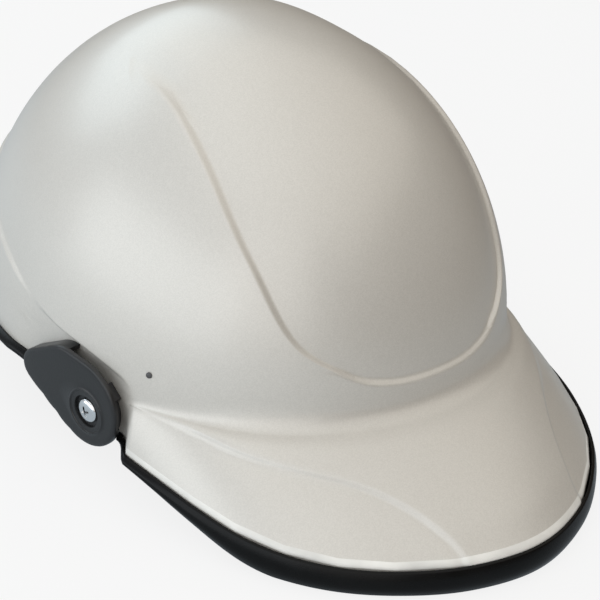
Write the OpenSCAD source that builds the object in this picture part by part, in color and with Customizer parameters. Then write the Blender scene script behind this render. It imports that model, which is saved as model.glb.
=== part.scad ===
// Open-face cap helmet of the jockey type: moulded shell with a peak, rubber edge trims,
// visor side plates on turning carriers, impact liner, comfort pads and a buckled chin strap.
// Millimetres. +Z is up, the peak points to -Y, the wearer's right is -X.
// The helmet stands on z = 0 with the front of its peak and the back of its rim.

/* [Shell] */
// Width over the shell at the ears
shell_w = 236; // [228:1:244]
// Depth of the dome in front of the ear line, without the peak
front_depth = 139; // [135:1:143]
// Depth of the dome behind the ear line
rear_depth = 145; // [141:1:149]
// Height of the crown over the standing surface
crown_z = 176; // [170:1:182]
// Height of the widest girth over the standing surface
waist_z = 30; // [26:1:34]
// Wall of the moulded shell
shell_wall = 3; // [2.6:0.1:3.4]
// Reach of the peak in front of the dome
peak_reach = 63; // [56:1:70]
// Upward bow of the peak between the dome and its edge
peak_bow = 2.5; // [1:0.5:4]
// Depth of the middle panel below the bands around it
panel_depth = 2.2; // [1.4:0.2:2.6]
// Height of the raised middle of the peak inside its two creases
crease_height = 1.6; // [0.8:0.2:2.2]
// Height of the raised band around the back of the shell
band_height = 1.2; // [0.6:0.2:1.8]

/* [Edge trims] */
// Thickness of the rubber outside the shell edge
trim_bulge = 3.6; // [3:0.2:4.4]
// Rubber below the shell edge
trim_foot = 3.5; // [3:0.25:4]
// Play between the rubber channel and the shell edge
trim_play = 0.25; // [0.2:0.05:0.35]

/* [Side plates] */
// Slant of the side plates to the length of the helmet, in degrees
plate_slant = 10; // [8:0.5:12]
// Depth of the pocket floor inside the widest girth
pocket_inset = 3; // [2:0.5:4]
// Depth of a side plate from the pocket floor to its face
plate_depth = 8; // [7.5:0.25:9]
// Thickness of the plate's face
plate_face = 2.2; // [1.8:0.1:2.6]
// Radius of the plate's round front end
plate_front_r = 20; // [19:0.5:21]
// Place of the visor pivot forward along the plate
pivot_fwd = 28; // [27:0.5:29]
// Height of the visor pivot
pivot_z = 29; // [28:0.5:30]
// Radius of the visor carrier disc
carrier_r = 13.5; // [12:0.5:14]
// Radius of the hub that the carrier turns on
hub_r = 5; // [4.5:0.25:6]
// Radius of the plate screw's shank
screw_r = 2.5; // [2:0.1:3]
// Radius of the plate screw's head
screw_head_r = 5.5; // [5:0.25:6]

/* [Liner and pads] */
// Room between the shell and the foam liner under the middle panel
liner_gap = 0.9; // [0.7:0.1:1.2]
// Thickness of the liner at the crown
liner_crown = 28; // [24:1:30]
// Thickness of the liner at the sides
liner_side = 20; // [18:1:24]
// Thickness of the liner at the front and the back
liner_ends = 26; // [22:1:28]
// Thickness of a comfort pad at its crown
pad_t = 9; // [6:0.5:11]
// Room between a pad and the liner
pad_gap = 0.3; // [0.2:0.05:0.4]
// Height of the middle of the brow pad over the standing surface
brow_pad_z = 66; // [63:1:69]
// Half height of the brow pad
brow_pad_h = 13; // [11:0.5:14]
// Height of the middle of the temple pads over the standing surface
temple_pad_z = 86; // [83:1:89]
// Half height of the temple pads
temple_pad_h = 15; // [12:0.5:17]
// Height of the middle of the nape pad over the standing surface
nape_pad_z = 44; // [42:1:46]
// Half height of the nape pad
nape_pad_h = 14; // [12:0.5:15]

/* [Chin strap] */
// Width of the webbing
web_w = 20; // [18:0.5:22]
// Thickness of the webbing
web_t = 1.6; // [1.4:0.1:2]
// Depth of the buckled strap below its anchors
strap_depth = 114; // [108:1:118]
// Half width of the strap under the chin
chin_half = 40; // [36:1:44]
// Height of the strap anchors
anchor_z = 40; // [39:0.5:41]
// Distance of the strap anchors in front of the widest girth
anchor_fwd = 22; // [21:0.5:23]
// Angle of the strap back from hanging straight down, in degrees
strap_lie = 76; // [74:0.5:77]
// Press of the release button
button_travel = 2.6; // [2.2:0.1:2.8]
// Running play of sliding and turning pieces
play = 0.3; // [0.25:0.05:0.35]

/* [Hidden] */
$fn = 48;
pocket_dist = shell_w / 2 - pocket_inset;

paint = [0.78, 0.77, 0.74];
rubber_black = [0.08, 0.08, 0.08];
plastic_black = [0.14, 0.14, 0.15];
foam_grey = [0.30, 0.31, 0.33];
cloth_black = [0.12, 0.12, 0.13];
chrome = [0.82, 0.83, 0.85];
steel = [0.62, 0.63, 0.65];
webbing_black = [0.10, 0.10, 0.11];
button_red = [0.70, 0.10, 0.10];

// Curves: straight mixing, smooth steps and a smooth line through control points [x, y]
function mix(a, b, t) = a + (b - a) * t;
function clamp01(t) = min(1, max(0, t));
function smooth(t) = let (u = clamp01(t)) u * u * (3 - 2 * u);
function bump(d, w) = smooth(d / w + 0.5);
function seg(x, p, i = 0) = (i >= len(p) - 2 || x < p[i + 1][0]) ? i : seg(x, p, i + 1);
function rise(p, i) = (i <= 0 || i >= len(p) - 1) ? 0
    : (p[i + 1][1] - p[i - 1][1]) / (p[i + 1][0] - p[i - 1][0]);
function curve(x, p) = let (
        i = seg(x, p),
        h = p[i + 1][0] - p[i][0],
        t = clamp01((x - p[i][0]) / h),
        t2 = t * t,
        t3 = t2 * t
    ) p[i][1] * (2 * t3 - 3 * t2 + 1) + rise(p, i) * h * (t3 - 2 * t2 + t)
      + p[i + 1][1] * (3 * t2 - 2 * t3) + rise(p, i + 1) * h * (t3 - t2);
function flat(rows) = [for (r = rows) each r];

// Dome: a superellipse girth with an elliptic crown, drawn in a little below the waist.
// th is the angle from the front, 0 to 180 degrees
girth_power = 2.12;
tuck = 0.05;
function girth(th, in_x, in_f, in_r) = let (
        a = shell_w / 2 - in_x,
        b = th < 90 ? front_depth - in_f : rear_depth - in_r
    ) pow(pow(abs(sin(th)) / a, girth_power) + pow(abs(cos(th)) / b, girth_power), -1 / girth_power);
function profile(z, top) = z > waist_z
    ? sqrt(max(0, 1 - pow((z - waist_z) / (top - waist_z), 2)))
    : 1 - tuck * (waist_z - z) / waist_z;
function polar(th, r, z) = [r * sin(th), -r * cos(th), z];
function dome(th, z, in_x = 0, in_f = 0, in_r = 0, in_t = 0) =
    polar(th, girth(th, in_x, in_f, in_r) * profile(z, crown_z - in_t), z);

// Lines around the shell, each by angle from the front
function edge_z(th) = curve(th, [[0, 13.5], [12, 12.8], [22, 12.2], [32, 13.5], [45, 18.5], [57, 22],
    [68, 24.5], [80, 31], [92, 35.5], [110, 35], [135, 25], [160, 10], [172, 6.5], [180, 6]]);
function foot_z(th) = max(0, curve(th, [[0, 0], [32, 0], [45, 8.5], [57, 15.5], [68, 18], [80, 25],
    [92, 29.5], [110, 29], [135, 18], [160, 3], [168, 0], [180, 0]]));
function line_z(th) = curve(th, [[0, 57], [8, 57.5], [15, 60], [22, 64], [30, 62], [40, 56], [50, 49.5],
    [57, 45.5], [61, 49], [70, 53.5], [80, 56.5], [90, 62], [106, 73], [130, 87], [155, 97], [180, 100]]);
function hem_z(th) = curve(th, [[0, 45], [20, 44.6], [35, 43], [50, 41], [62, 40]]);
function fillet_h(th) = curve(th, [[0, 4], [15, 5], [35, 10], [50, 4], [62, 1.5]]);
function peak_plan(th) = curve(th, [[0, 1], [9, 0.94], [18, 0.825], [25.5, 0.716], [35, 0.538],
    [43, 0.356], [50, 0.22], [58, 0.12], [66, 0.06]]);
function flare(th) = 1 - smooth((th - 56.5) / 4.5);
function panel_half(z) = curve(z, [[57, 46], [66, 53], [82, 63], [105, 68], [118, 69], [131, 68],
    [142, 66], [150, 63.5], [158, 60], [176, 56]]);
function panel_th(z) = asin(min(1, panel_half(z) / (front_depth * profile(z, crown_z) * 0.93)));
function crease_th(s) = curve(s, [[0, 54], [0.08, 52], [0.2, 46.5], [0.33, 38], [0.4, 29], [0.46, 22.5],
    [0.58, 17], [0.77, 12.6], [1, 10.2]]);

// Rows of the shell from the crown to the flange under the trim
dome_rows = 11;
line_steps = [1.2, -1.2, -3];
bend_steps = [0, 1 / 3, 2 / 3, 1];
bend_end = 0.12;
peak_steps = [0.2, 0.28, 0.36, 0.44, 0.54, 0.66, 0.78, 0.9, 1];
first_line = dome_rows + 1;
middle_row = first_line + len(line_steps);
first_bend = middle_row + 1;
first_peak = first_bend + len(bend_steps);
edge_row = first_peak + len(peak_steps) - 1;
last_row = edge_row + 2;

// How far down from the line to the edge a row lies where the shell has no peak
function side_part(j) = j == middle_row ? 0.1
    : j < first_peak ? 0.16 + 0.06 * (j - first_bend)
    : mix(0.34, 1, (peak_steps[j - first_peak] - bend_end) / (1 - bend_end));
function flange_h(th) = edge_z(th) - foot_z(th) - trim_foot;

function crown_row(th, k) = let (
        end = acos((line_z(th) + 3 - waist_z) / (crown_z - waist_z)),
        z = waist_z + (crown_z - waist_z) * cos(end * k / dome_rows)
    ) dome(th, z);
function side_row(th, j) = j <= edge_row
    ? dome(th, mix(line_z(th) - 3, edge_z(th), side_part(j)))
    : dome(th, edge_z(th) - (j == last_row ? flange_h(th) : 1));
function peak_root(th) = dome(th, hem_z(th));
function peak_edge(th) = polar(th, girth(th, 0, 0, 0) + peak_reach * peak_plan(th), edge_z(th));
function peak_point(th, s) = mix(peak_root(th), peak_edge(th), s) + [0, 0, 4 * peak_bow * s * (1 - s)];
function bend_point(th, t) = let (
        a = dome(th, hem_z(th) + fillet_h(th)),
        b = peak_point(th, bend_end)
    ) (1 - t) * (1 - t) * a + 2 * t * (1 - t) * peak_root(th) + t * t * b;
function peak_row(th, j) = j == middle_row
    ? dome(th, mix(line_z(th) - 3, hem_z(th) + fillet_h(th), 0.5))
    : j < first_peak ? bend_point(th, bend_steps[j - first_bend])
    : j <= edge_row ? peak_point(th, peak_steps[j - first_peak])
    : peak_edge(th) + polar(th, j == last_row ? 0.9 : 0.6, 0)
      - [0, 0, j == last_row ? flange_h(th) : 1];
function bare_point(th, j) = j == 0 ? [0, 0, crown_z]
    : j <= dome_rows ? crown_row(th, j)
    : j < middle_row ? dome(th, line_z(th) + line_steps[j - first_line])
    : mix(side_row(th, j), peak_row(min(th, 66), j), flare(th));

// Columns of a row: they follow the panel's side, the peak's crease and the pocket's front wall
function row_z(j) = j <= dome_rows
    ? waist_z + (crown_z - waist_z) * cos(acos((line_z(23) + 3 - waist_z) / (crown_z - waist_z))
      * max(j, 1) / dome_rows)
    : line_z(23);
function row_crease(j) = j <= dome_rows ? max(38, panel_th(row_z(j)) + 12)
    : j < middle_row ? 38 + (j - dome_rows)
    : j == middle_row ? 44
    : j < first_peak ? 47 + 1.6 * (j - first_bend)
    : crease_th(peak_steps[j - first_peak < len(peak_steps) ? j - first_peak : len(peak_steps) - 1]);
function row_panel(j) = j <= dome_rows ? panel_th(row_z(j)) : min(22.5, 0.55 * row_crease(j));
function row_wall(j) = j <= dome_rows ? max(56, row_crease(j) + 12) : 56;
function steps_to(a, b, n) = [for (k = [1:n - 1]) mix(a, b, k / n)];
function around(c, w, spread) = [for (k = [-1.5, -0.5, 0.5, 1.5]) c + k * spread * w];
function row_angles(j) = let (
        r = max(55, norm(bare_point(30, max(j, 1)) - [0, 0, bare_point(30, max(j, 1))[2]])),
        deg = 180 / PI / r,
        p = around(row_panel(j), deg, 2.2),
        c = around(row_crease(j), deg, 1.6),
        w = [for (k = [0:3]) row_wall(j) + 2 * k]
    ) concat([0], steps_to(0, p[0], 4), p, steps_to(p[3], c[0], 3), c, steps_to(c[3], w[0], 7), w,
        steps_to(w[3], 180, 13), [180]);
half_cols = len(row_angles(1));
ring_cols = 2 * half_cols - 2;
angles = [for (j = [0:last_row]) row_angles(j)];
bare = [for (j = [0:last_row]) [for (th = angles[j]) bare_point(th, j)]];

function mirrored(p) = [-p[0], p[1], p[2]];
function bare_at(j, i) = let (jj = min(last_row, max(0, j)))
    i < 0 ? mirrored(bare[jj][-i])
    : i >= half_cols ? mirrored(bare[jj][2 * half_cols - 2 - i]) : bare[jj][i];
function outward(j, i) = j == 0 ? [0, 0, 1] : let (
        n = cross(bare_at(j + 1, i) - bare_at(j - 1, i), bare_at(j, i + 1) - bare_at(j, i - 1))
    ) n / norm(n);

// Raised and sunk forms on the bare shell
function round_min(a, b, k) = (a < k && b < k) ? k - norm([k - a, k - b]) : min(a, b);
function panel_sink(p, th) = let (
        d = round_min(panel_half(p[2]) - abs(p[0]), p[2] - line_z(min(th, 30)), 14)
    ) panel_depth * bump(d, 4.5) * (1 - smooth((p[1] + 15) / 50));
function crease_lift(p, th, j) = j < first_peak || j > edge_row ? 0 : let (
        s = peak_steps[j - first_peak],
        d = (crease_th(s) - th) * PI / 180 * norm([p[0], p[1]])
    ) crease_height * bump(d, 3) * smooth((s - 0.05) / 0.2) * (1 - 0.6 * smooth((s - 0.8) / 0.2))
      * flare(th);
function below_line(p, th) = th < 57 ? 0 : smooth((line_z(th) - p[2] + 1.2) / 2.4);
function band_lift(p, th) = band_height * below_line(p, th) * smooth((th - 88) / 12);
pocket_axis = [cos(plate_slant), -sin(plate_slant), 0];
function pocket_sink(p, th) = th > 120 ? 0
    : max(0, p * pocket_axis - pocket_dist) * below_line(p, th) * (1 - flare(th));
function outer_point(j, i) = let (
        p = bare[j][i],
        th = angles[j][i],
        lift = crease_lift(p, th, j) + band_lift(p, th) - panel_sink(p, th)
    ) p + lift * outward(j, i) - pocket_sink(p, th) * pocket_axis;
outer_half = [for (j = [0:last_row]) [for (i = [0:half_cols - 1]) outer_point(j, i)]];
inner_half = [for (j = [0:last_row]) [for (i = [0:half_cols - 1])
    outer_half[j][i] - shell_wall * outward(j, i)]];
function ring(half) = concat(half, [for (i = [len(half) - 2:-1:1]) mirrored(half[i])]);

// Faces between two rings of n points that start at a and b, wound so that they look outward
function band_faces(a, b, n, flip = false) = [for (i = [0:n - 1]) let (k = (i + 1) % n)
    each flip ? [[a + i, b + k, b + i], [a + i, a + k, b + k]]
              : [[a + i, b + i, b + k], [a + i, b + k, a + k]]];
// The same between two rings that mirror themselves, with the second half split as the first one's mirror image
function even_faces(a, b, n, flip = false) = [for (i = [0:n - 1]) let (k = (i + 1) % n) each
    i < n / 2 ? (flip ? [[a + i, b + k, b + i], [a + i, a + k, b + k]]
                      : [[a + i, b + i, b + k], [a + i, b + k, a + k]])
              : (flip ? [[a + i, a + k, b + i], [a + k, b + k, b + i]]
                      : [[a + i, b + i, a + k], [a + k, b + i, b + k]])];
function fan_faces(c, a, n, flip = false) = [for (i = [0:n - 1]) let (k = (i + 1) % n)
    flip ? [c, a + k, a + i] : [c, a + i, a + k]];

// A closed wall between an outer and an inner stack of rings under one crown point each
module walled_cap(outer, inner, top_out, top_in) {
    n = len(outer[0]);
    m = len(outer);
    skin = m * n;
    polyhedron(
        points = concat(flat(outer), flat(inner), [top_out, top_in]),
        faces = concat(
            fan_faces(2 * skin, 0, n, true),
            [for (j = [0:m - 2]) each even_faces(j * n, (j + 1) * n, n, true)],
            fan_faces(2 * skin + 1, skin, n),
            [for (j = [0:m - 2]) each even_faces(skin + j * n, skin + (j + 1) * n, n)],
            even_faces((m - 1) * n, skin + (m - 1) * n, n, true)),
        convexity = 10);
}

module shell_body() {
    walled_cap([for (j = [1:last_row]) ring(outer_half[j])], [for (j = [1:last_row]) ring(inner_half[j])],
        outer_half[0][0], inner_half[0][0]);
}

// Both sides of the helmet: the right one is drawn, the left one mirrors it
module left_side() mirror([1, 0, 0]) children();
module both_sides() {
    children();
    left_side() children();
}

// Pocket axes: x forward along the plate, y up, z outward from the middle of the helmet
module on_pocket() rotate([90, 0, plate_slant - 90]) children();
module at_pivot(d) on_pocket() translate([pivot_fwd, pivot_z, d]) children();
// A round piece from x0 to x1 along the strap anchors' axis on the right side
module at_anchor(x0, x1, r) translate([-x1, -anchor_fwd, anchor_z]) rotate([0, 90, 0])
    cylinder(r = r, h = x1 - x0);

plate_back = pocket_dist + plate_depth - plate_face;
rivet_r = 2.5;
rivet_head_r = 4.3;
rivet_head_t = 1.6;
hole_play = 0.1;
function pocket_x(fwd, dist) = (dist - fwd * sin(plate_slant)) / cos(plate_slant);
spot_x = pocket_x(anchor_fwd + rivet_head_r, pocket_dist) - 0.2;
hanger_t = 1.5;
hanger_inset = 10.2;
hanger_x = pocket_dist - hanger_inset;
lining_rivet_at = dome(54.3, 54.5);
lining_rivet_lean = 8.4;
lining_rivet_r = 0.9;

module outer_shell() {
    color(paint) difference() {
        shell_body();
        both_sides() at_pivot(pocket_dist - 12) cylinder(r = screw_r + 2 * hole_play, h = 20);
        both_sides() at_anchor(hanger_x, spot_x + 8, rivet_r + hole_play);
        both_sides() at_anchor(spot_x, spot_x + 8, rivet_head_r + 3 * hole_play);
        both_sides() lining_rivet_axis() translate([0, 0, -8])
            cylinder(r = lining_rivet_r + hole_play, h = 16);
    }
}

// Foam liner: a thick cap inside the shell with cut-outs above the strap anchors
liner_in = shell_wall + panel_depth + liner_gap;
liner_rows = 11;
liner_cols = 25;
pad_side = liner_in + liner_side;
pad_ends = liner_in + liner_ends;
pad_crown = liner_in + liner_crown;
function liner_z(th) = curve(th, [[0, 48], [35, 48], [55, 58], [70, 66], [95, 66], [112, 52], [132, 32],
    [155, 19], [180, 15]]);
function inside_pocket(p, dist) = p - max(0, p * pocket_axis - dist) * pocket_axis;
function cap_point(th, part, x, e, t) = let (
        top = crown_z - t,
        end = liner_z(th),
        down = end > waist_z ? acos((end - waist_z) / (top - waist_z)) : 90,
        z = end > waist_z || part < 0.8
            ? waist_z + (top - waist_z) * cos(down * (end > waist_z ? part : part / 0.8))
            : mix(waist_z, end, (part - 0.8) / 0.2)
    ) dome(th, z, x, e, e, t);
function liner_ring(part, x, e, t, dist) = ring([for (i = [0:liner_cols - 1])
    inside_pocket(cap_point(180 * i / (liner_cols - 1), part, x, e, t), dist)]);
module impact_liner() {
    floor_in = pocket_dist - shell_wall - 0.6;
    color(foam_grey) walled_cap(
        [for (k = [1:liner_rows]) liner_ring(k / liner_rows, liner_in, liner_in, liner_in, floor_in)],
        [for (k = [1:liner_rows]) liner_ring(k / liner_rows, pad_side, pad_ends, pad_crown,
            floor_in - liner_side + 2)],
        [0, 0, crown_z - liner_in], [0, 0, crown_z - pad_crown]);
}

// How squarely the foot of a column faces outward, and the least of that column and the next
function lean(i) = outward(last_row, i) * [sin(angles[last_row][i]), -cos(angles[last_row][i]), 0];
function least_lean(i) = max(0.45, min(lean(i), lean(min(i + 1, half_cols - 1))));

// Rubber channel on the shell's edge: twelve corners in the upright plane of each column
function trim_section(i) = let (
        th = angles[last_row][i],
        foot = outer_half[last_row][i],
        out = [sin(th), -cos(th), 0],
        r = max(norm([foot[0], foot[1]]), norm([outer_half[edge_row][i][0], outer_half[edge_row][i][1]])),
        top = edge_z(th) - 0.8,
        low = foot_z(th),
        h = top - low,
        mid = foot[2] - 0.2,
        grip = min(5, 0.7 * flange_h(th)),
        wall_in = shell_wall / least_lean(i) + trim_play + 1.0
    ) [for (q = [[trim_play, top], [trim_play + 1.3, top - 0.2], [trim_bulge - 0.3, low + 0.65 * h],
        [trim_bulge, low + 0.35 * h], [trim_bulge - 1.4, low + 0.7], [trim_bulge - 2.8, low],
        [-wall_in - 0.8, low], [-wall_in - 2, low + 1], [-wall_in - 1.6, mid + grip],
        [-wall_in, mid + grip], [-wall_in, mid], [trim_play, mid]]) (r + q[0]) * out + [0, 0, q[1]]];
section_size = 12;
section_cap = [[0, 1, 2], [0, 2, 11], [11, 2, 3], [11, 3, 4], [11, 4, 5], [11, 5, 10], [10, 5, 6],
    [10, 6, 7], [10, 7, 8], [10, 8, 9]];
module swept_trim(sections) {
    n = section_size;
    m = len(sections);
    end = (m - 1) * n;
    polyhedron(
        points = flat(sections),
        faces = concat(
            section_cap,
            [for (f = section_cap) [end + f[0], end + f[2], end + f[1]]],
            [for (j = [0:m - 2]) each band_faces(j * n, (j + 1) * n, n)]),
        convexity = 10);
}
function across(from, to) = concat(
    [for (i = [to:-1:max(from, 1)]) [for (p = trim_section(i)) mirrored(p)]],
    [for (i = [from:to]) trim_section(i)]);
function behind(from) = concat(
    [for (i = [from:half_cols - 1]) trim_section(i)],
    [for (i = [half_cols - 2:-1:from]) [for (p = trim_section(i)) mirrored(p)]]);
peak_trim_end = 21;
rear_trim_start = 25;
module peak_trim() color(rubber_black) swept_trim(across(0, peak_trim_end));
module rear_trim() color(rubber_black) swept_trim(behind(rear_trim_start));

// Side plate: a teardrop cap over the visor pivot, open along its front for a visor's arm
plate_arcs = [[pivot_fwd - 2, pivot_z + 3, plate_front_r], [pivot_fwd - 14, pivot_z + 7, plate_front_r - 3],
    [pivot_fwd - 34, pivot_z + 6, 8]];
function reach_of(a, d) = a[0] * d[0] + a[1] * d[1] + a[2];
function plate_point(d, inset) = let (
        far = max([for (a = plate_arcs) reach_of(a, d)]),
        a = [for (b = plate_arcs) if (reach_of(b, d) > far - 0.0001) b][0]
    ) [a[0], a[1]] + (a[2] - inset) * d;
function plate_ring(inset) = [for (a = [1:6:355]) plate_point([cos(a), sin(a)], inset)];
function lift_ring(ring, z) = [for (p = ring) [p[0], p[1], z]];
module plate_outline(inset = 0) polygon(plate_ring(inset));
module layered(rings) {
    n = len(rings[0]);
    m = len(rings);
    polyhedron(
        points = flat(rings),
        faces = concat(
            [[for (i = [0:n - 1]) i]],
            [[for (i = [n - 1:-1:0]) (m - 1) * n + i]],
            [for (j = [0:m - 2]) each band_faces(j * n, (j + 1) * n, n)]),
        convexity = 4);
}
plate_bevel = 1.2;
plate_wall = 2;
recess_r = screw_head_r + 1.75;
recess_depth = 1.8;
hub_plate_t = 1.2;
module plate_face_solid() layered([
    lift_ring(plate_ring(0), plate_back),
    lift_ring(plate_ring(0), plate_back + plate_face - plate_bevel),
    lift_ring(plate_ring(0.3 * plate_bevel), plate_back + plate_face - 0.3 * plate_bevel),
    lift_ring(plate_ring(plate_bevel), plate_back + plate_face)]);
// Upright rim under the face, from the height d up, cut where the window for the arm is
module plate_rim(d) difference() {
    translate([0, 0, d]) linear_extrude(plate_back - d + 0.01) difference() {
        plate_outline();
        plate_outline(plate_wall);
    }
    translate([pivot_fwd, pivot_z, d - 1]) linear_extrude(plate_depth + 2)
        polygon([[0, 0], [40, -4], [40, 40], [-20, 40]]);
}
module side_plate() color(plastic_black) difference() {
    union() {
        plate_face_solid();
        plate_rim(pocket_dist + 4.6);
        intersection() {
            plate_rim(pocket_dist + 0.15);
            translate([-20, pivot_z + 9, pocket_dist]) cube([60, 40, plate_depth]);
        }
        translate([pivot_fwd, pivot_z, 0]) {
            translate([0, 0, pocket_dist + 0.15]) cylinder(r = hub_r, h = plate_back - pocket_dist);
            translate([0, 0, plate_back - hub_plate_t]) cylinder(r = hub_r + 4, h = hub_plate_t + 0.1);
            translate([0, 0, plate_back + plate_face - 0.1]) difference() {
                cylinder(r = recess_r + 3.6, h = 0.6);
                translate([0, 0, -1]) cylinder(r = recess_r + 2.2, h = 3);
            }
        }
    }
    translate([pivot_fwd, pivot_z, plate_back + plate_face - recess_depth]) cylinder(r = recess_r, h = 5);
    translate([pivot_fwd, pivot_z, pocket_dist - 1]) cylinder(r = screw_r + hole_play, h = 20);
}
module side_plate_right() on_pocket() side_plate();
module side_plate_left() left_side() side_plate_right();

// Cross-head screw through plate, carrier hub and shell into a nut with a flange
screw_seat = plate_back + plate_face - recess_depth;
nut_depth = pocket_dist - shell_wall - 0.35;
module cross_cut() for (a = [0, 90]) rotate([0, 0, a]) translate([-3, -0.55, 1.5]) cube([6, 1.1, 3]);
module plate_screw() {
    difference() {
        rotate_extrude() polygon([[0, 0], [screw_head_r, 0], [screw_head_r, 0.9], [screw_head_r - 0.8, 1.7],
            [screw_head_r - 2.4, 2.3], [0, 2.6]]);
        cross_cut();
    }
    translate([0, 0, nut_depth - 6.5 - screw_seat]) cylinder(r = screw_r, h = screw_seat - nut_depth + 6.6);
}
module plate_screws() color(chrome) both_sides() at_pivot(screw_seat) plate_screw();
module plate_nuts() color(steel) both_sides() at_pivot(nut_depth) difference() {
    union() {
        translate([0, 0, -1.3]) cylinder(r = 8, h = 1.3);
        translate([0, 0, -5.3]) cylinder(r = 4.8, h = 4.1, $fn = 6);
    }
    translate([0, 0, -7]) cylinder(r = screw_r + 0.05, h = 9);
}

// Visor carrier: turns on the plate's hub, its lug takes the arm of a visor
carrier_low = pocket_dist + play;
carrier_t = plate_back - hub_plate_t - 2 * play - pocket_dist;
lug_angle = 50;
lug_l = 2.6;
module carrier() color(plastic_black) difference() {
    union() {
        cylinder(r = carrier_r, h = carrier_t);
        rotate([0, 0, lug_angle]) translate([0, -4, 0]) cube([carrier_r + lug_l, 8, carrier_t]);
    }
    translate([0, 0, -1]) cylinder(r = hub_r + 0.05, h = carrier_t + 2);
    for (a = [0:3]) rotate([0, 0, lug_angle + 45 + 90 * a]) translate([carrier_r - 4, 0, carrier_t - 1.2])
        cylinder(r = 1.5, h = 2);
}
module carrier_right() at_pivot(carrier_low) carrier();
module carrier_left() left_side() carrier_right();

// Strap anchors: a rivet through shell, spacer and hanger on each side
spacer_x = pocket_x(anchor_fwd + 5.2, pocket_dist - shell_wall) - 0.1;
module anchor_rivets() color(steel) both_sides() {
    at_anchor(spot_x, spot_x + rivet_head_t, rivet_head_r);
    at_anchor(hanger_x - hanger_t - 0.15 - rivet_head_t, spot_x + 0.1, rivet_r);
    at_anchor(hanger_x - hanger_t - 0.15 - rivet_head_t, hanger_x - hanger_t - 0.15, rivet_head_r);
}
module anchor_spacers() color(plastic_black) both_sides() difference() {
    at_anchor(hanger_x + 0.15, spacer_x, 5);
    at_anchor(hanger_x - 1, spacer_x + 1, rivet_r + hole_play);
}

// Small rivet on each temple that holds the snap of the lining
module lining_rivet_axis() translate([-lining_rivet_at[0], lining_rivet_at[1], lining_rivet_at[2]])
    rotate([90 - lining_rivet_lean, 0, -55]) children();
module lining_rivets() color(plastic_black) both_sides() lining_rivet_axis() {
    translate([0, 0, -shell_wall - 2.2]) cylinder(r = lining_rivet_r, h = shell_wall + 2.4);
    translate([0, 0, 0.15]) cylinder(r = 1.35, h = 0.7);
    translate([0, 0, -shell_wall - 2.2]) cylinder(r = 3.5, h = 1.3);
}

// Comfort pads: crowned cushions on the liner, drawn in along their borders
function pad_fill(u, v) = 2 + (pad_t - 2) * sqrt((1 - pow(abs(u), 4)) * (1 - pow(abs(v), 4)));
seat = pad_gap + 0.6;
function on_liner(th, z, deep) = let (
        p = dome(abs(th), z, pad_side + deep, pad_ends + deep, pad_ends + deep, pad_crown + deep),
        q = inside_pocket(p, pocket_dist - shell_wall - 0.6 - liner_side + 2 - deep)
    ) th < 0 ? mirrored(q) : q;
function grid(n, m, f) = [for (i = [0:n]) each [for (j = [0:m]) f(2 * i / n - 1, 2 * j / m - 1)]];
module slab(n, m, back, front) {
    size = (n + 1) * (m + 1);
    border = concat([for (j = [0:m]) j], [for (i = [1:n]) i * (m + 1) + m],
        [for (j = [m - 1:-1:0]) n * (m + 1) + j], [for (i = [n - 1:-1:1]) i * (m + 1)]);
    polyhedron(
        points = concat(grid(n, m, back), grid(n, m, front)),
        faces = concat(
            [for (i = [0:n - 1]) for (j = [0:m - 1]) let (a = i * (m + 1) + j, b = a + m + 1)
                each [[a, b, b + 1], [a, b + 1, a + 1]]],
            [for (i = [0:n - 1]) for (j = [0:m - 1]) let (a = size + i * (m + 1) + j, b = a + m + 1)
                each [[a, b + 1, b], [a, a + 1, b + 1]]],
            [for (k = [0:len(border) - 1]) let (a = border[k], b = border[(k + 1) % len(border)])
                each [[a, b, size + b], [a, size + b, size + a]]]),
        convexity = 6);
}
module pad(th_mid, th_half, z_mid, z_half) color(cloth_black)
    slab(14, 7,
        function (u, v) on_liner(th_mid - th_half * u * (1 - 0.1 * pow(v, 4)),
            z_mid + z_half * v * (1 - 0.12 * pow(u, 4)), seat),
        function (u, v) on_liner(th_mid - th_half * u * (1 - 0.1 * pow(v, 4)),
            z_mid + z_half * v * (1 - 0.12 * pow(u, 4)), seat + pad_fill(u, v)));
module brow_pad() pad(0, 46, brow_pad_z, brow_pad_h);
module temple_pad_right() left_side() temple_pad_left();
module temple_pad_left() pad(82, 24, temple_pad_z, temple_pad_h);
module nape_pad() color(cloth_black) slab(14, 7,
    function (u, v) nape_point(u, v, seat),
    function (u, v) nape_point(u, v, seat + pad_fill(u, v)));
function nape_point(u, v, deep) = let (
        turn = 36 * u * (1 - 0.1 * pow(v, 4)),
        p = on_liner(180 - abs(turn), nape_pad_z + nape_pad_h * v * (1 - 0.12 * pow(u, 4)), deep)
    ) turn > 0 ? p : mirrored(p);
crown_pad_rings = [6, 11, 16, 20, 23.5, 26];
function crown_ring(down, deep) = ring([for (i = [0:12]) let (
        top = crown_z - pad_crown - deep,
        z = waist_z + (top - waist_z) * cos(down)
    ) dome(15 * i, z, pad_side + deep, pad_ends + deep, pad_ends + deep, pad_crown + deep)]);
module crown_pad() color(cloth_black) walled_cap(
    [for (a = crown_pad_rings) crown_ring(a, seat)],
    [for (a = crown_pad_rings) crown_ring(a, seat + pad_fill(a / 26, 0))],
    [0, 0, crown_z - pad_crown - seat], [0, 0, crown_z - pad_crown - seat - pad_t]);

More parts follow.
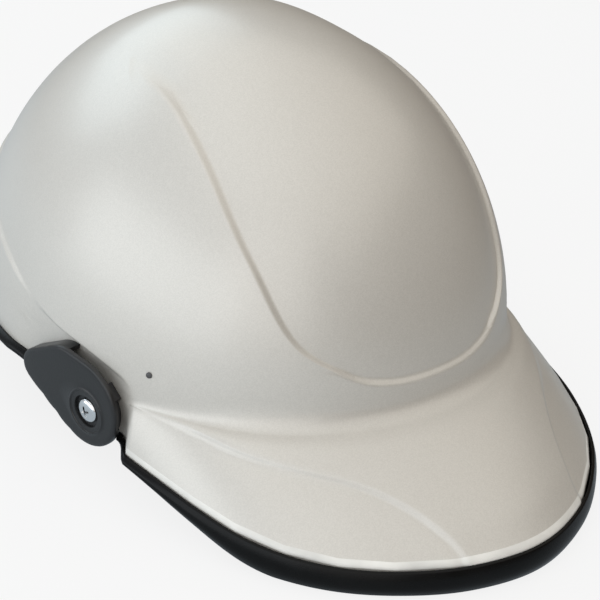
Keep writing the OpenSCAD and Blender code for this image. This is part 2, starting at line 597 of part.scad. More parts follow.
// Chin strap axes: x across, -z down the loop, y across the webbing, from the anchors' axis
module in_strap() translate([0, -anchor_fwd, anchor_z]) rotate([strap_lie, 0, 0]) children();
module strap_profile() rotate([90, 0, 0]) translate([0, 0, -web_w / 2]) linear_extrude(web_w) children();
web_x = hanger_x - hanger_t / 2;
eye_top = 12.9;
eye_low = 15;
hanger_end = 19;
join_z = hanger_end + 2.5;
side_dir = [chin_half - web_x, join_z - strap_depth] / norm([chin_half - web_x, join_z - strap_depth]);
side_turn = atan2(side_dir[1], side_dir[0]);
side_run = norm([chin_half - web_x, join_z - strap_depth]);
chin_r = 22;
chin_tangent = chin_r * tan((180 + side_turn) / 2);
// A point of the left side run at the distance s below its start
function left_run(s) = [web_x, -join_z] + s * side_dir;
function flip_x(p) = [-p[0], p[1]];
// Axes on the left side run: x down along the webbing, z outward
module on_left_run(s) in_strap() translate([left_run(s)[0], 0, left_run(s)[1]])
    rotate([0, -side_turn, 0]) children();
module on_right_run(s) in_strap() mirror([1, 0, 0]) translate([left_run(s)[0], 0, left_run(s)[1]])
    rotate([0, -side_turn, 0]) children();

// A flat strip of thickness t along a line of points
function strip_normal(p, i) = let (
        d = p[min(i + 1, len(p) - 1)] - p[max(i - 1, 0)]
    ) [-d[1], d[0]] / norm(d);
function strip(p, t) = concat(
    [for (i = [0:len(p) - 1]) p[i] + t / 2 * strip_normal(p, i)],
    [for (i = [len(p) - 1:-1:0]) p[i] - t / 2 * strip_normal(p, i)]);
// Webbing round a hanger's bar, with both layers sewn together below it
bar_room = hanger_t / 2 + 0.2;
module hanger_loop(side) difference() {
    polygon(sided(side, [[web_x - 1, -eye_top - 0.3], [web_x + 1, -eye_top - 0.3], [web_x + 2.6, -eye_low],
        [web_x + 2.6, -hanger_end], [web_x + 1.2, -join_z - 1], [web_x - 1.6, -join_z - 0.5],
        [web_x - 2.6, -hanger_end], [web_x - 2.6, -eye_low]]));
    polygon(sided(side, [[web_x - bar_room, -hanger_end - 0.3], [web_x + bar_room, -hanger_end - 0.3],
        [web_x + bar_room, -eye_low + 0.2], [web_x - bar_room, -eye_low + 0.2]]));
}
// Points of the left side as they are, or mirrored to the right side in the same turning sense
function sided(side, p) = side > 0 ? p : [for (i = [len(p) - 1:-1:0]) flip_x(p[i])];
sewn = 13;
housing_s = 16;
housing_l = 42;
module webbing_left() color(webbing_black) in_strap() strap_profile() {
    hanger_loop(1);
    polygon(strip([left_run(0.4), left_run(sewn)], 2 * web_t));
    polygon(strip([left_run(0), left_run(housing_s + 6.5)], web_t));
}
tongue_s = housing_s + housing_l + 15;
tail_from = 60;
tail_to = 100;
tail_off = [side_dir[1], -side_dir[0]] * (-web_t / 2 - 0.05);
chin_line = concat(
    [left_run(tongue_s), left_run(side_run - chin_tangent)],
    [for (k = [1:5]) chin_arc(k / 6)],
    [[chin_half - chin_tangent, -strap_depth]]);
function chin_arc(part) = let (
        start = left_run(side_run - chin_tangent),
        inward = [side_dir[1], -side_dir[0]],
        centre = start + chin_r * inward,
        a0 = atan2(-inward[1], -inward[0]),
        turn = -90 - a0
    ) centre + chin_r * [cos(a0 + turn * part), sin(a0 + turn * part)];
right_line = concat(chin_line, [for (i = [len(chin_line) - 1:-1:2]) flip_x(chin_line[i])],
    [flip_x(left_run(0))]);
module webbing_right() color(webbing_black) in_strap() strap_profile() {
    polygon(strip(right_line, web_t));
    hanger_loop(-1);
    polygon(sided(-1, strip([left_run(0.4), left_run(sewn)], 2 * web_t)));
    polygon(sided(-1, strip([left_run(tail_from) + tail_off, left_run(tail_to) + tail_off], 2 * web_t - 0.1)));
    tongue_loop();
}

// Hangers: steel tabs that swing on the rivets and carry the webbing
module hanger() color(steel) in_strap() translate([hanger_x - hanger_t, 0, 0]) rotate([90, 0, 90])
    linear_extrude(hanger_t) difference() {
        hull() {
            circle(r = 7);
            translate([-12.5, -hanger_end]) square([25, 8]);
        }
        circle(r = rivet_r + 0.06, $fn = 48);
        translate([-web_w / 2 - 0.6, -eye_low]) square([web_w + 1.2, eye_low - eye_top]);
    }
module hanger_left() hanger();
module hanger_right() left_side() hanger();

// Push-button buckle on the left run: x down the strap, z outward, from the housing's upper end
housing_w = 27;
tongue_w = 15.4;
tongue_t = 2;
tongue_in = 13;
channel = tongue_t / 2 + play;
housing_low = -8.6;
housing_floor = -7.4;
cover_top = 5.5;
tooth = [21.2, 26.8, 5.6];
function round_rect(l, w, r) = [for (c = [[l - r, w / 2 - r, 0], [r, w / 2 - r, 90], [r, r - w / 2, 180],
    [l - r, r - w / 2, 270]]) for (a = [0:30:90]) [c[0], c[1]] + r * [cos(a + c[2]), sin(a + c[2])]];
module block(x0, x1, w, z0, z1) translate([x0, -w / 2, z0]) cube([x1 - x0, w, z1 - z0]);
module buckle_housing() color(plastic_black) on_left_run(housing_s) difference() {
    translate([0, 0, housing_low]) linear_extrude(channel - housing_low)
        polygon(round_rect(housing_l, housing_w, 4));
    block(tongue_in - 1, housing_l + 1, tongue_w + 2 * play, -channel, channel + 1);
    block(-1, 7, web_w + 2 * play, -web_t / 2 - play, channel + 1);
    block(17.4, 30.6, 13.6, housing_floor, 0);
}
module buckle_cover() color(plastic_black) on_left_run(housing_s) difference() {
    translate([0, 0, channel]) linear_extrude(cover_top - channel) polygon(round_rect(housing_l, housing_w, 4));
    block(16, 32, 13.6, channel - 1, 4.9);
    block(16.9, 31.1, 12.2, 4, cover_top + 1);
}
module release_button() color(button_red) on_left_run(housing_s) {
    block(16.4, 31.6, 13, 3.9, 4.6);
    block(17.2, 30.8, 11.6, 3.9, 6.3);
    block(tooth[0] + 0.1, tooth[1] - 0.1, tooth[2] - 0.2, 1.05, 4);
}
module latch_bar() color(steel) on_left_run(housing_s) {
    block(18, 30, 13, -3.3, -1.6);
    block(tooth[0], tooth[1], tooth[2], -2, 0.9);
}
// Bowed leaf spring that lifts the latch bar from the housing's floor
module latch_spring() color(steel) on_left_run(housing_s) rotate([90, 0, 0]) translate([0, 0, -4])
    linear_extrude(8) polygon(strip([for (k = [-6:6]) [24 + 0.92 * k, -3.6 - 3.45 * pow(k / 6, 2)]], 0.4));
tongue_end = housing_l + 12;
tongue_slot = [housing_l + 5.8, housing_l + 8.1];
module buckle_tongue() color(steel) on_left_run(housing_s) difference() {
    union() {
        block(tongue_in, housing_l + 3, tongue_w, -tongue_t / 2, tongue_t / 2);
        block(housing_l + 2, tongue_end, web_w + 5, -tongue_t / 2, tongue_t / 2);
    }
    block(tooth[0] - 0.4, tooth[1] + 0.4, tooth[2] + 0.8, -3, 3);
    block(tongue_slot[0], tongue_slot[1], web_w + 1.2, -3, 3);
}
// Webbing round the tongue's bar, drawn along the left run
module tongue_loop() translate(left_run(housing_s + housing_l)) rotate([0, 0, side_turn]) difference() {
    polygon([[6.2, -1.2], [6.2, 1.2], [7.8, 2.9], [12.3, 2.9], [15.5, 0.8], [15.5, -0.8], [12.3, -2.9],
        [7.8, -2.9]]);
    translate([7.9, -1.2]) square([4.3, 2.4]);
}

// Slider and keeper on the right run: x up and down the strap, z outward
module strap_slider() color(plastic_black) on_right_run(38) {
    for (y = [-1, 1]) translate([-11, y * (web_w / 2 + play + 1.5) - 1.5, -2.6]) cube([22, 3, 5.2]);
    for (x = [-11, 7.5]) block(x, x + 3.5, web_w + 2 * play + 2, -2.6, -web_t / 2 - play);
    block(-2.2, 2.2, web_w + 2 * play + 2, web_t / 2 + play, 2.6);
}
module strap_keeper() color(rubber_black) on_right_run(80) difference() {
    block(-4, 4, web_w + 2 * play + 3.2, -web_t / 2 - play - 1.6, 1.5 * web_t + play + 1.6);
    block(-5, 5, web_w + 2 * play, -web_t / 2 - play, 1.5 * web_t + play);
}

// Cushion on the chin stretch of the webbing, on the side of the wearer
chin_pad_l = 50;
chin_pad_w = 22;
module chin_pad() color(cloth_black) in_strap() translate([0, 0, -strap_depth + web_t / 2 + 0.15])
    slab(12, 6,
        function (u, v) [chin_pad_l / 2 * u, chin_pad_w / 2 * v * (1 - 0.1 * pow(u, 4)), 0],
        function (u, v) [chin_pad_l / 2 * u, chin_pad_w / 2 * v * (1 - 0.1 * pow(u, 4)),
            1 + 5 * sqrt((1 - pow(u, 4)) * (1 - pow(v, 4)))]);

outer_shell();
impact_liner();
peak_trim();
rear_trim();
side_plate_left();
side_plate_right();
plate_screws();
plate_nuts();
carrier_left();
carrier_right();
anchor_rivets();
anchor_spacers();
lining_rivets();
crown_pad();
brow_pad();
temple_pad_left();
temple_pad_right();
nape_pad();
hanger_left();
hanger_right();
webbing_left();
webbing_right();
buckle_housing();
buckle_cover();
release_button();
latch_bar();
latch_spring();
buckle_tongue();
strap_slider();
strap_keeper();
chin_pad();
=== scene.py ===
import bpy
import bmesh
import math
import numpy as np
from contextlib import contextmanager
from mathutils import Vector, Matrix
from mathutils.bvhtree import BVHTree
from mathutils.kdtree import KDTree


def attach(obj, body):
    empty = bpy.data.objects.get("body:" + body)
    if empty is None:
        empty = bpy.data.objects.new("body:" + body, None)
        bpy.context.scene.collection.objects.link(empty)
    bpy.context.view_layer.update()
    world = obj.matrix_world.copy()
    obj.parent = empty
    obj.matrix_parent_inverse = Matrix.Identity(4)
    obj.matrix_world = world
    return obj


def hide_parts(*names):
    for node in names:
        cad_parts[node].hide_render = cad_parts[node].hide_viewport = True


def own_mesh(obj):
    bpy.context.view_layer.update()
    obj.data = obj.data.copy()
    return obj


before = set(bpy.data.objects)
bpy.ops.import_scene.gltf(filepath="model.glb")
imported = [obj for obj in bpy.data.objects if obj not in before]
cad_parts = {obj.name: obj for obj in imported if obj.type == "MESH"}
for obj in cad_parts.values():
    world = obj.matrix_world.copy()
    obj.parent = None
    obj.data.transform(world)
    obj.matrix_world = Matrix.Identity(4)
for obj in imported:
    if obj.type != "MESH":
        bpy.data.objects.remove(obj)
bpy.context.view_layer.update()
MM = 0.001
PI = math.pi
FLIP = np.array([-1, 1, 1])

# Sizes in millimetres, as in the solids
SHELL_W, FRONT, REAR, CROWN, WAIST, WALL = 236.0, 139.0, 145.0, 176.0, 30.0, 3.0
REACH, BOW, PANEL, CREASE, BAND = 63.0, 2.5, 2.2, 1.6, 1.2
BULGE, FOOT, TRIM_PLAY = 3.6, 3.5, 0.25
SLANT, POCKET, PLATE_D, PLATE_F, PLATE_R = 10.0, 115.0, 8.0, 2.2, 20.0
PIVOT_F, PIVOT_Z, HUB_R, HEAD_R = 28.0, 29.0, 5.0, 5.5
LINER_GAP, LINER_CROWN, LINER_SIDE, LINER_ENDS, PAD_T, PAD_GAP = 0.9, 28.0, 20.0, 26.0, 9.0, 0.3
WEB_W, WEB_T, DEPTH, CHIN_HALF = 20.0, 1.6, 114.0, 40.0
ANCHOR_Z, ANCHOR_F, LIE = 40.0, 22.0, 76.0


# Smooth steps, bends and curves through control points
def sm(t):
    t = np.clip(t, 0, 1)
    return t * t * (3 - 2 * t)


def bump_step(d, w):
    return sm(d / w + 0.5)


def mix(a, b, t):
    return a + (b - a) * t


def bend(a, b, c, t):
    """A point of the round that leaves a towards b and ends in c."""
    return (1 - t) ** 2 * a + 2 * t * (1 - t) * b + t * t * c


def sind(a):
    return np.sin(np.radians(a))


def cosd(a):
    return np.cos(np.radians(a))


def unit(v):
    return v / np.linalg.norm(v, axis=-1, keepdims=True)


def curve(x, pts):
    p = np.array(pts, float)
    xs, ys = p[:, 0], p[:, 1]
    m = np.zeros(len(xs))
    m[1:-1] = (ys[2:] - ys[:-2]) / (xs[2:] - xs[:-2])
    x = np.asarray(x, float)
    i = np.clip(np.searchsorted(xs, x, side="right") - 1, 0, len(xs) - 2)
    h = xs[i + 1] - xs[i]
    t = np.clip((x - xs[i]) / h, 0, 1)
    return (ys[i] * (2 * t ** 3 - 3 * t ** 2 + 1) + m[i] * h * (t ** 3 - 2 * t ** 2 + t)
            + ys[i + 1] * (3 * t ** 2 - 2 * t ** 3) + m[i + 1] * h * (t ** 3 - t ** 2))


def through(*pts):
    return lambda x: curve(x, pts)


# Dome and the lines around the shell, by the angle th from the front in degrees
def girth(th, ix=0.0, i_f=0.0, ir=0.0):
    a = SHELL_W / 2 - ix
    b = np.where(np.asarray(th) < 90, FRONT - i_f, REAR - ir)
    return (np.abs(sind(th) / a) ** 2.12 + np.abs(cosd(th) / b) ** 2.12) ** (-1 / 2.12)


def profile(z, top=CROWN):
    z = np.asarray(z, float)
    up = np.sqrt(np.maximum(0, 1 - ((z - WAIST) / (top - WAIST)) ** 2))
    return np.where(z > WAIST, up, 1 - 0.05 * (WAIST - z) / WAIST)


def polar(th, r, z):
    r = r + 0 * z
    return np.stack([r * sind(th), -r * cosd(th), z + 0 * r], -1)


def dome(th, z, ix=0.0, i_f=0.0, ir=0.0, it=0.0):
    return polar(th, girth(th, ix, i_f, ir) * profile(z, CROWN - it), np.asarray(z, float))


edge_z = through([0, 13.5], [12, 12.8], [22, 12.2], [32, 13.5], [45, 18.5], [57, 22], [68, 24.5], [80, 31],
                 [92, 35.5], [110, 35], [135, 25], [160, 10], [172, 6.5], [180, 6])
low_z = through([0, 0], [32, 0], [45, 8.5], [57, 15.5], [68, 18], [80, 25], [92, 29.5], [110, 29], [135, 18],
                [160, 3], [168, 0], [180, 0])
line_z = through([0, 57], [8, 57.5], [15, 60], [22, 64], [30, 62], [40, 56], [50, 49.5], [57, 45.5], [61, 49],
                 [70, 53.5], [80, 56.5], [90, 62], [106, 73], [130, 87], [155, 97], [180, 100])
hem_z = through([0, 45], [20, 44.6], [35, 43], [50, 41], [62, 40])
fillet_h = through([0, 4], [15, 5], [35, 10], [50, 4], [62, 1.5])
peak_plan = through([0, 1], [9, 0.94], [18, 0.825], [25.5, 0.716], [35, 0.538], [43, 0.356], [50, 0.22],
                    [58, 0.12], [66, 0.06])
panel_half = through([57, 46], [66, 53], [82, 63], [105, 68], [118, 69], [131, 68], [142, 66], [150, 63.5],
                     [158, 60], [176, 56])
crease_th = through([0, 54], [0.08, 52], [0.2, 46.5], [0.33, 38], [0.4, 29], [0.46, 22.5], [0.58, 17],
                    [0.77, 12.6], [1, 10.2])
liner_z = through([0, 48], [35, 48], [55, 58], [70, 66], [95, 66], [112, 52], [132, 32], [155, 19], [180, 15])


def foot_z(th):
    return np.maximum(0, low_z(th))


def flange_h(th):
    return edge_z(th) - foot_z(th) - FOOT


def flare(th):
    """1 along the peak, 0 behind its ends."""
    return 1 - sm((th - 56.5) / 4.5)


def band_rise(th):
    return BAND * sm((th - 88) / 12)


# The shell by angle and by a row number that runs from the crown (0) to the foot of the flange (27)
PEAK_STEPS = [0.2, 0.28, 0.36, 0.44, 0.54, 0.66, 0.78, 0.9, 1]
EDGE_ROW = 25
PEAK_START = 0.12
SIDE_START = 0.34
FLANGE_ROWS = [26.35, 26.6, 26.85, 27.0]
PEAK_END = 66
EDGE_ROUND = 1.3
PANEL_CORNER = 14.0


def peak_s(j):
    return np.interp(j, [16] + list(range(17, 26)), [PEAK_START] + PEAK_STEPS)


def side_point(th, j):
    """The shell below its line where it has no peak."""
    part = np.interp(j, [11, 12, 13, 16, 17], [0, 0.1, 0.16, SIDE_START, mix(SIDE_START, 1, 0.08 / 0.88)])
    part = np.where(j > 17, mix(SIDE_START, 1, (peak_s(j) - PEAK_START) / 0.88), part)
    side = dome(th, mix(line_z(th) - 3, edge_z(th), np.clip(part, 0, 1)))
    fall = np.interp(j, [25, 26, 27], [0, 1, 0]) + np.clip(j - 26, 0, 1) * flange_h(th)
    return np.where((j > EDGE_ROW)[..., None], dome(th, edge_z(th) - fall), side), fall


def peak_point(th, j, fall):
    """The shell below its line in front: fillet, bowed peak and its lip."""
    root = dome(th, hem_z(th))
    rim = polar(th, girth(th) + REACH * peak_plan(th), edge_z(th))

    def sheet(s):
        p = mix(root, rim, s[..., None])
        p[..., 2] += 4 * BOW * s * (1 - s)
        return p
    top = hem_z(th) + fillet_h(th)
    start = sheet(np.full(th.shape, PEAK_START))
    fillet = bend(dome(th, top), root, start, np.clip((j - 13) / 3, 0, 1)[..., None])
    first = dome(th, mix(line_z(th) - 3, top, np.clip((j - 11) / 2, 0, 1)))
    peak = np.where((j < 13)[..., None], first, fillet)
    peak = np.where((j > 16)[..., None], sheet(peak_s(j)), peak)
    out = np.interp(j, [25, 26, 27], [0, 0.6, 0.9])
    lip = rim + polar(th, out, 0 * out) - np.stack([0 * fall, 0 * fall, fall], -1)
    return np.where((j > EDGE_ROW)[..., None], lip, peak)


def bare_point(th, j):
    """A point of the shell without panel, creases, band and pockets."""
    th, j = np.broadcast_arrays(np.asarray(th, float), np.asarray(j, float))
    line = line_z(th)
    end = np.degrees(np.arccos((line + 3 - WAIST) / (CROWN - WAIST)))
    top = dome(th, WAIST + (CROWN - WAIST) * cosd(end * np.clip(j, 0, 8) / 8))
    middle = dome(th, line + np.interp(j, [8, 9, 10, 11], [3, 1.2, -1.2, -3]))
    side, fall = side_point(th, j)
    low = mix(side, peak_point(np.minimum(th, PEAK_END), j, fall), flare(th)[..., None])
    return np.where((j <= 8)[..., None], top, np.where((j <= 11)[..., None], middle, low))


def in_panel(p, th):
    """Distance inside the sunk panel's border, with a round corner."""
    a, b = panel_half(p[..., 2]) - np.abs(p[..., 0]), p[..., 2] - line_z(np.minimum(th, 30))
    near = (a < PANEL_CORNER) & (b < PANEL_CORNER)
    return np.where(near, PANEL_CORNER - np.hypot(PANEL_CORNER - a, PANEL_CORNER - b), np.minimum(a, b))


POCKET_AXIS = np.array([cosd(SLANT), -sind(SLANT), 0])


def shell_rows():
    """Row numbers from the crown down, finer towards the line under the panel."""
    top = 8 * (1 - (1 - np.linspace(0, 1, 62)) ** 1.35)
    spans = ((8, 11, 10), (11, 13, 5), (13, 16, 9), (16, 24.3, 34))
    return np.concatenate([[0.04], top[1:]] + [np.linspace(*span)[1:] for span in spans])


def panel_side(j):
    """Angle at which a row meets the side of the sunk panel, or 72 where it stays inside."""
    th = np.linspace(5, 90, 500)
    d = in_panel(bare_point(th, j), th)
    k = int(np.argmax(d < 0))
    if k == 0:
        return 72.0
    return min(72.0, float(th[k] - (th[k] - th[k - 1]) * d[k] / (d[k] - d[k - 1])))


def shell_angles(j):
    """Angles of one row: close together along the panel's side, the crease and the pocket's front wall."""
    pa = panel_side(min(j, 9.0))
    cr = float(np.interp(j, [8, 9, 11, 12, 13, 16], [38, 39, 41, 44, 47, 51.8]))
    if j <= 8:
        cr = max(38, pa + 13)
    elif j > 16:
        cr = float(crease_th(peak_s(min(j, 25))))
    if j > 9:
        pa = min(float(np.interp(j, [9, 12], [pa, 22.5])), 0.55 * cr)
    wall = max(56, cr + 12)
    deg = 180 / PI / max(40.0, float(np.linalg.norm(bare_point(30.0, j)[:2])))
    knots = [0, pa - 3 * deg, pa + 3 * deg, cr - 5 * deg, cr + 5 * deg, wall, wall + 7, 180]
    if knots[3] <= knots[2] + 0.2:
        mid = (knots[2] + knots[3]) / 2
        knots[2], knots[3] = mid - 0.1, mid + 0.1
    counts = [12, 13, 5, 16, 7, 10, 36]
    parts = [np.linspace(a, b, n + 1)[:-1] for a, b, n in zip(knots, knots[1:], counts)]
    return np.concatenate(parts + [[180.0]])


def both(half):
    """A half row of points from front to back, closed through its mirror image."""
    return np.concatenate([half, half[..., -2:0:-1, :] * FLIP], axis=-2)


def shell_grid():
    """Bare points with their angles and row numbers; the last rows are the round edge and the flange."""
    rows = shell_rows()
    th = np.array([shell_angles(j) for j in rows])
    j = rows[:, None] + 0 * th
    low = shell_angles(float(EDGE_ROW))
    a, b, c = (bare_point(low, q) for q in (24.75, EDGE_ROW, 26.25))
    room = np.linalg.norm(bare_point(low, rows[-1]) - b, axis=-1)
    start = b + unit(a - b) * np.minimum(2.0, 0.6 * room)[:, None]
    tail = [bend(start, b, b + unit(c - b) * EDGE_ROUND, t) for t in (0, 0.25, 0.5, 0.75, 1)]
    tail += [bare_point(low, q) for q in FLANGE_ROWS]
    tail_j = np.outer([24.8, 24.9, 25, 25.1, 25.2] + FLANGE_ROWS, np.ones(len(low)))
    grids = ((bare_point(th, j), tail), (th, [low] * len(tail)), (j, tail_j))
    return [np.concatenate(g) for g in grids]


def wider(g):
    """A half grid with one more column at each end, mirrored."""
    return np.concatenate([g[:, 1:2] * FLIP, g, g[:, -2:-1] * FLIP], axis=1)


def normals(g):
    """Outward normals of a half grid that is mirrored at both ends."""
    w = wider(g)
    du = np.zeros_like(g)
    du[1:-1] = g[2:] - g[:-2]
    du[0], du[-1] = g[1] - g[0], g[-1] - g[-2]
    n = np.cross(du, w[:, 2:] - w[:, :-2])
    return n / np.maximum(1e-9, np.linalg.norm(n, axis=-1))[..., None]


def crease_lift(th, j, r):
    """Height of the peak outside its crease, by the distance across the crease."""
    s = peak_s(np.minimum(j, EDGE_ROW))
    arc = PI / 180 * r
    run = (crease_th(s + 0.01) - crease_th(s - 0.01)) / 0.02 * arc
    reach = REACH * np.maximum(0.2, peak_plan(np.minimum(th, 60)))
    dist = (crease_th(s) - th) * arc / np.hypot(1, run / reach)
    lift = CREASE * bump_step(dist, 3.2) * sm((s - 0.05) / 0.2) * (1 - 0.5 * sm((s - 0.8) / 0.2)) * flare(th)
    return np.where((j >= 16) & (j <= 25.6), lift, 0)


def shell_surfaces():
    """Outer and inner half grids with panel, crease, band and pockets, kept inside the solid's box."""
    bare, th, j = shell_grid()
    x, y, z = bare[..., 0], bare[..., 1], bare[..., 2]
    sink = PANEL * bump_step(in_panel(bare, th), 2.6) * (1 - sm((y + 15) / 50))
    below = np.where(th < 57, 0, sm((line_z(th) - z + 1.2) / 2.4))
    lift = crease_lift(th, j, np.hypot(x, y))
    out = bare + (lift + band_rise(th) * below - sink)[..., None] * normals(bare)
    depth = np.where(th > 120, 0, np.maximum(0, (bare @ POCKET_AXIS) - POCKET) * below * (1 - flare(th)))
    out = out - depth[..., None] * POCKET_AXIS
    n = normals(out)
    for _ in range(10):
        w = wider(n)
        n = (w[:, 2:] + w[:, :-2] + 2 * n) / 4
        n[1:-1] = (n[2:] + n[:-2] + 2 * n[1:-1]) / 4
        n = unit(n)
    out[..., 2] -= 0.08 * sm((out[..., 2] - 160) / 14.5)
    out[..., 1] -= 0.21 * sm((out[..., 1] - 136) / 10)
    return out, out - WALL * n


# Mesh helpers
@contextmanager
def edited(me):
    bm = bmesh.new()
    bm.from_mesh(me)
    yield bm
    bm.to_mesh(me)
    bm.free()


def smooth_shade(ob):
    ob.data.polygons.foreach_set("use_smooth", [True] * len(ob.data.polygons))
    return ob


def linked(name, data):
    ob = bpy.data.objects.new(name, data)
    bpy.context.scene.collection.objects.link(ob)
    return ob


def mesh_piece(name, verts, faces):
    """A smooth shaded piece from points in millimetres."""
    me = bpy.data.meshes.new(name)
    me.from_pydata((np.asarray(verts, float) * MM).tolist(), [], [list(map(int, f)) for f in faces])
    me.update()
    with edited(me) as bm:
        bmesh.ops.remove_doubles(bm, verts=bm.verts, dist=1e-6)
        bmesh.ops.recalc_face_normals(bm, faces=bm.faces)
    return smooth_shade(linked(name, me))


def skin_faces(m, n, base=0, caps=True, around=False):
    """Quads over m rings of n points from the index base, with end caps or closed around."""
    out = []
    for k in range(m if around else m - 1):
        a, b = base + k * n, base + (k + 1) % m * n
        out += [[a + i, b + i, b + (i + 1) % n, a + (i + 1) % n] for i in range(n)]
    if caps and not around:
        out += [list(range(base, base + n))[::-1], list(range(base + (m - 1) * n, base + m * n))]
    return out


def loft(name, rings, caps=True, around=False):
    """Skin over equal rings of points."""
    rings = np.asarray(rings, float)
    return mesh_piece(name, rings.reshape(-1, 3), skin_faces(*rings.shape[:2], 0, caps, around))


def circle(n, start=0.0):
    a = np.linspace(start, start + 2 * PI, n, endpoint=False)
    return np.stack([np.cos(a), np.sin(a)], -1)


def turned(prof, n):
    """Rings of a turned piece from (radius, height) pairs; a radius of 0 is a point."""
    return np.array([np.concatenate([max(r, 0.001) * circle(n), np.full((n, 1), h)], 1) for r, h in prof])


def sharpen(ob, angle):
    """Smooth shading with the given crease angle."""
    with edited(ob.data) as bm:
        for e in bm.edges:
            e.smooth = not (len(e.link_faces) == 2 and e.calc_face_angle(0) > math.radians(angle))
    return smooth_shade(ob)


def apply_mods(ob):
    bpy.context.view_layer.update()
    me = bpy.data.meshes.new_from_object(ob.evaluated_get(bpy.context.evaluated_depsgraph_get()))
    old = ob.data
    ob.modifiers.clear()
    ob.data = me
    me.name = ob.name
    bpy.data.meshes.remove(old)
    return ob


def modify(ob, kind, **settings):
    """Adds one modifier and applies it."""
    mod = ob.modifiers.new(kind.lower(), kind)
    for key, v in settings.items():
        setattr(mod, key, v)
    return apply_mods(ob)


def join(main, *rest):
    for o in rest:
        o.data.materials.clear()
        for mt in main.data.materials:
            o.data.materials.append(mt)
    with bpy.context.temp_override(active_object=main, selected_editable_objects=[main, *rest]):
        bpy.ops.object.join()
    return main


def points_of(ob):
    return np.array([v.co for v in ob.data.vertices]) / MM


def move_points(ob, pts):
    ob.data.vertices.foreach_set("co", (pts * MM).reshape(-1))
    ob.data.update()


def tree_of(ob):
    me = ob.data
    return BVHTree.FromPolygons([v.co.copy() for v in me.vertices], [list(p.vertices) for p in me.polygons])


# Materials
def material(name, values=None):
    m = bpy.data.materials.new(name)
    m.use_nodes = True
    nt = m.node_tree
    nt.nodes.clear()
    sh = nt.nodes.new("ShaderNodeBsdfPrincipled")
    node(nt, "ShaderNodeOutputMaterial", {0: sh.outputs[0]})
    for k, v in (values or {}).items():
        sh.inputs[k].default_value = v
    return m, nt, sh


def node(nt, kind, inputs=None, **props):
    n = nt.nodes.new(kind)
    for k, v in props.items():
        setattr(n, k, v)
    for k, v in (inputs or {}).items():
        if isinstance(v, bpy.types.NodeSocket):
            nt.links.new(v, n.inputs[k])
        else:
            n.inputs[k].default_value = v
    return n


def coords(nt):
    return node(nt, "ShaderNodeTexCoord").outputs["Object"]


def noise(nt, vec, scale, detail=3.0, rough=0.5):
    settings = {"Vector": vec, "Scale": scale, "Detail": detail, "Roughness": rough}
    return node(nt, "ShaderNodeTexNoise", settings).outputs["Fac"]


def cells(nt, vec, scale, out, **props):
    return node(nt, "ShaderNodeTexVoronoi", {"Vector": vec, "Scale": scale}, **props).outputs[out]


def first_channel(nt, colour):
    return node(nt, "ShaderNodeSeparateColor", {"Color": colour}).outputs[0]


def ramp(nt, fac, *stops):
    """Colour ramp through (position, colour) stops, where a colour of one value is a grey."""
    n = node(nt, "ShaderNodeValToRGB", {"Fac": fac})
    e = n.color_ramp.elements
    while len(e) < len(stops):
        e.new(0.5)
    for el, (p, c) in zip(e, stops):
        el.position = p
        el.color = (*c, 1) if len(c) == 3 else (c[0], c[0], c[0], 1)
    return n.outputs["Color"]


def feed(nt, sh, socket, fac, *stops):
    nt.links.new(ramp(nt, fac, *stops), sh.inputs[socket])


def shaded(nt, sh, socket, fac, base, *marks):
    """Drives a socket with the base value times the factor of each (position, factor) mark."""
    feed(nt, sh, socket, fac, *[(p, [min(1, c * k) for c in base]) for p, k in marks])


def bumped(nt, sh, height, strength, distance):
    b = node(nt, "ShaderNodeBump", {"Height": height, "Strength": strength, "Distance": distance})
    nt.links.new(b.outputs[0], sh.inputs["Normal"])


def mixed(nt, sh, a, b, fac):
    """Drives the base colour with a mix of two colours."""
    n = node(nt, "ShaderNodeMix", data_type="RGBA")
    n.inputs[0].default_value = fac
    for v, sock in zip((a, b), [s for s in n.inputs if s.type == "RGBA"]):
        nt.links.new(v, sock)
    nt.links.new([s for s in n.outputs if s.type == "RGBA"][0], sh.inputs["Base Color"])


def math_node(nt, op, a, b=0.0):
    return node(nt, "ShaderNodeMath", {0: a, 1: b}, operation=op).outputs[0]


def pearl_paint():
    values = {"Metallic": 0.25, "Coat Weight": 0.6, "Coat Roughness": 0.24}
    m, nt, sh = material("pearl_silver", values)
    v = coords(nt)
    spark = first_channel(nt, cells(nt, v, 2600.0, "Color"))
    base = ramp(nt, noise(nt, v, 14.0, 2.0, 0.4), (0.3, (0.61, 0.586, 0.540)), (0.7, (0.66, 0.636, 0.588)))
    mixed(nt, sh, base, ramp(nt, spark, (0.0, (0.58, 0.556, 0.512)), (1.0, (0.72, 0.693, 0.646))), 0.45)
    feed(nt, sh, "Roughness", spark, (0.0, (0.36,)), (1.0, (0.48,)))
    bumped(nt, sh, noise(nt, v, 260.0, 1.0), 0.03, 0.0006)
    return m


def rubber(name, base, rough, shine=0.5):
    m, nt, sh = material(name, {"Specular IOR Level": shine})
    v = coords(nt)
    wear = noise(nt, v, 60.0, 4.0)
    shaded(nt, sh, "Base Color", wear, base, (0.35, 0.8), (0.75, 1.35))
    shaded(nt, sh, "Roughness", wear, (rough,), (0.3, 0.85), (0.75, 1.25))
    bumped(nt, sh, noise(nt, v, 900.0, 2.0), 0.06, 0.0004)
    return m


def plastic(name, base, rough, grain=900.0, depth=0.12):
    m, nt, sh = material(name)
    v = coords(nt)
    big = noise(nt, v, 45.0, 3.0)
    shaded(nt, sh, "Base Color", big, base, (0.3, 0.86), (0.75, 1.2))
    shaded(nt, sh, "Roughness", big, (rough,), (0.3, 0.88), (0.75, 1.18))
    bumped(nt, sh, noise(nt, v, grain, 2.0, 0.6), depth, 0.0004)
    return m


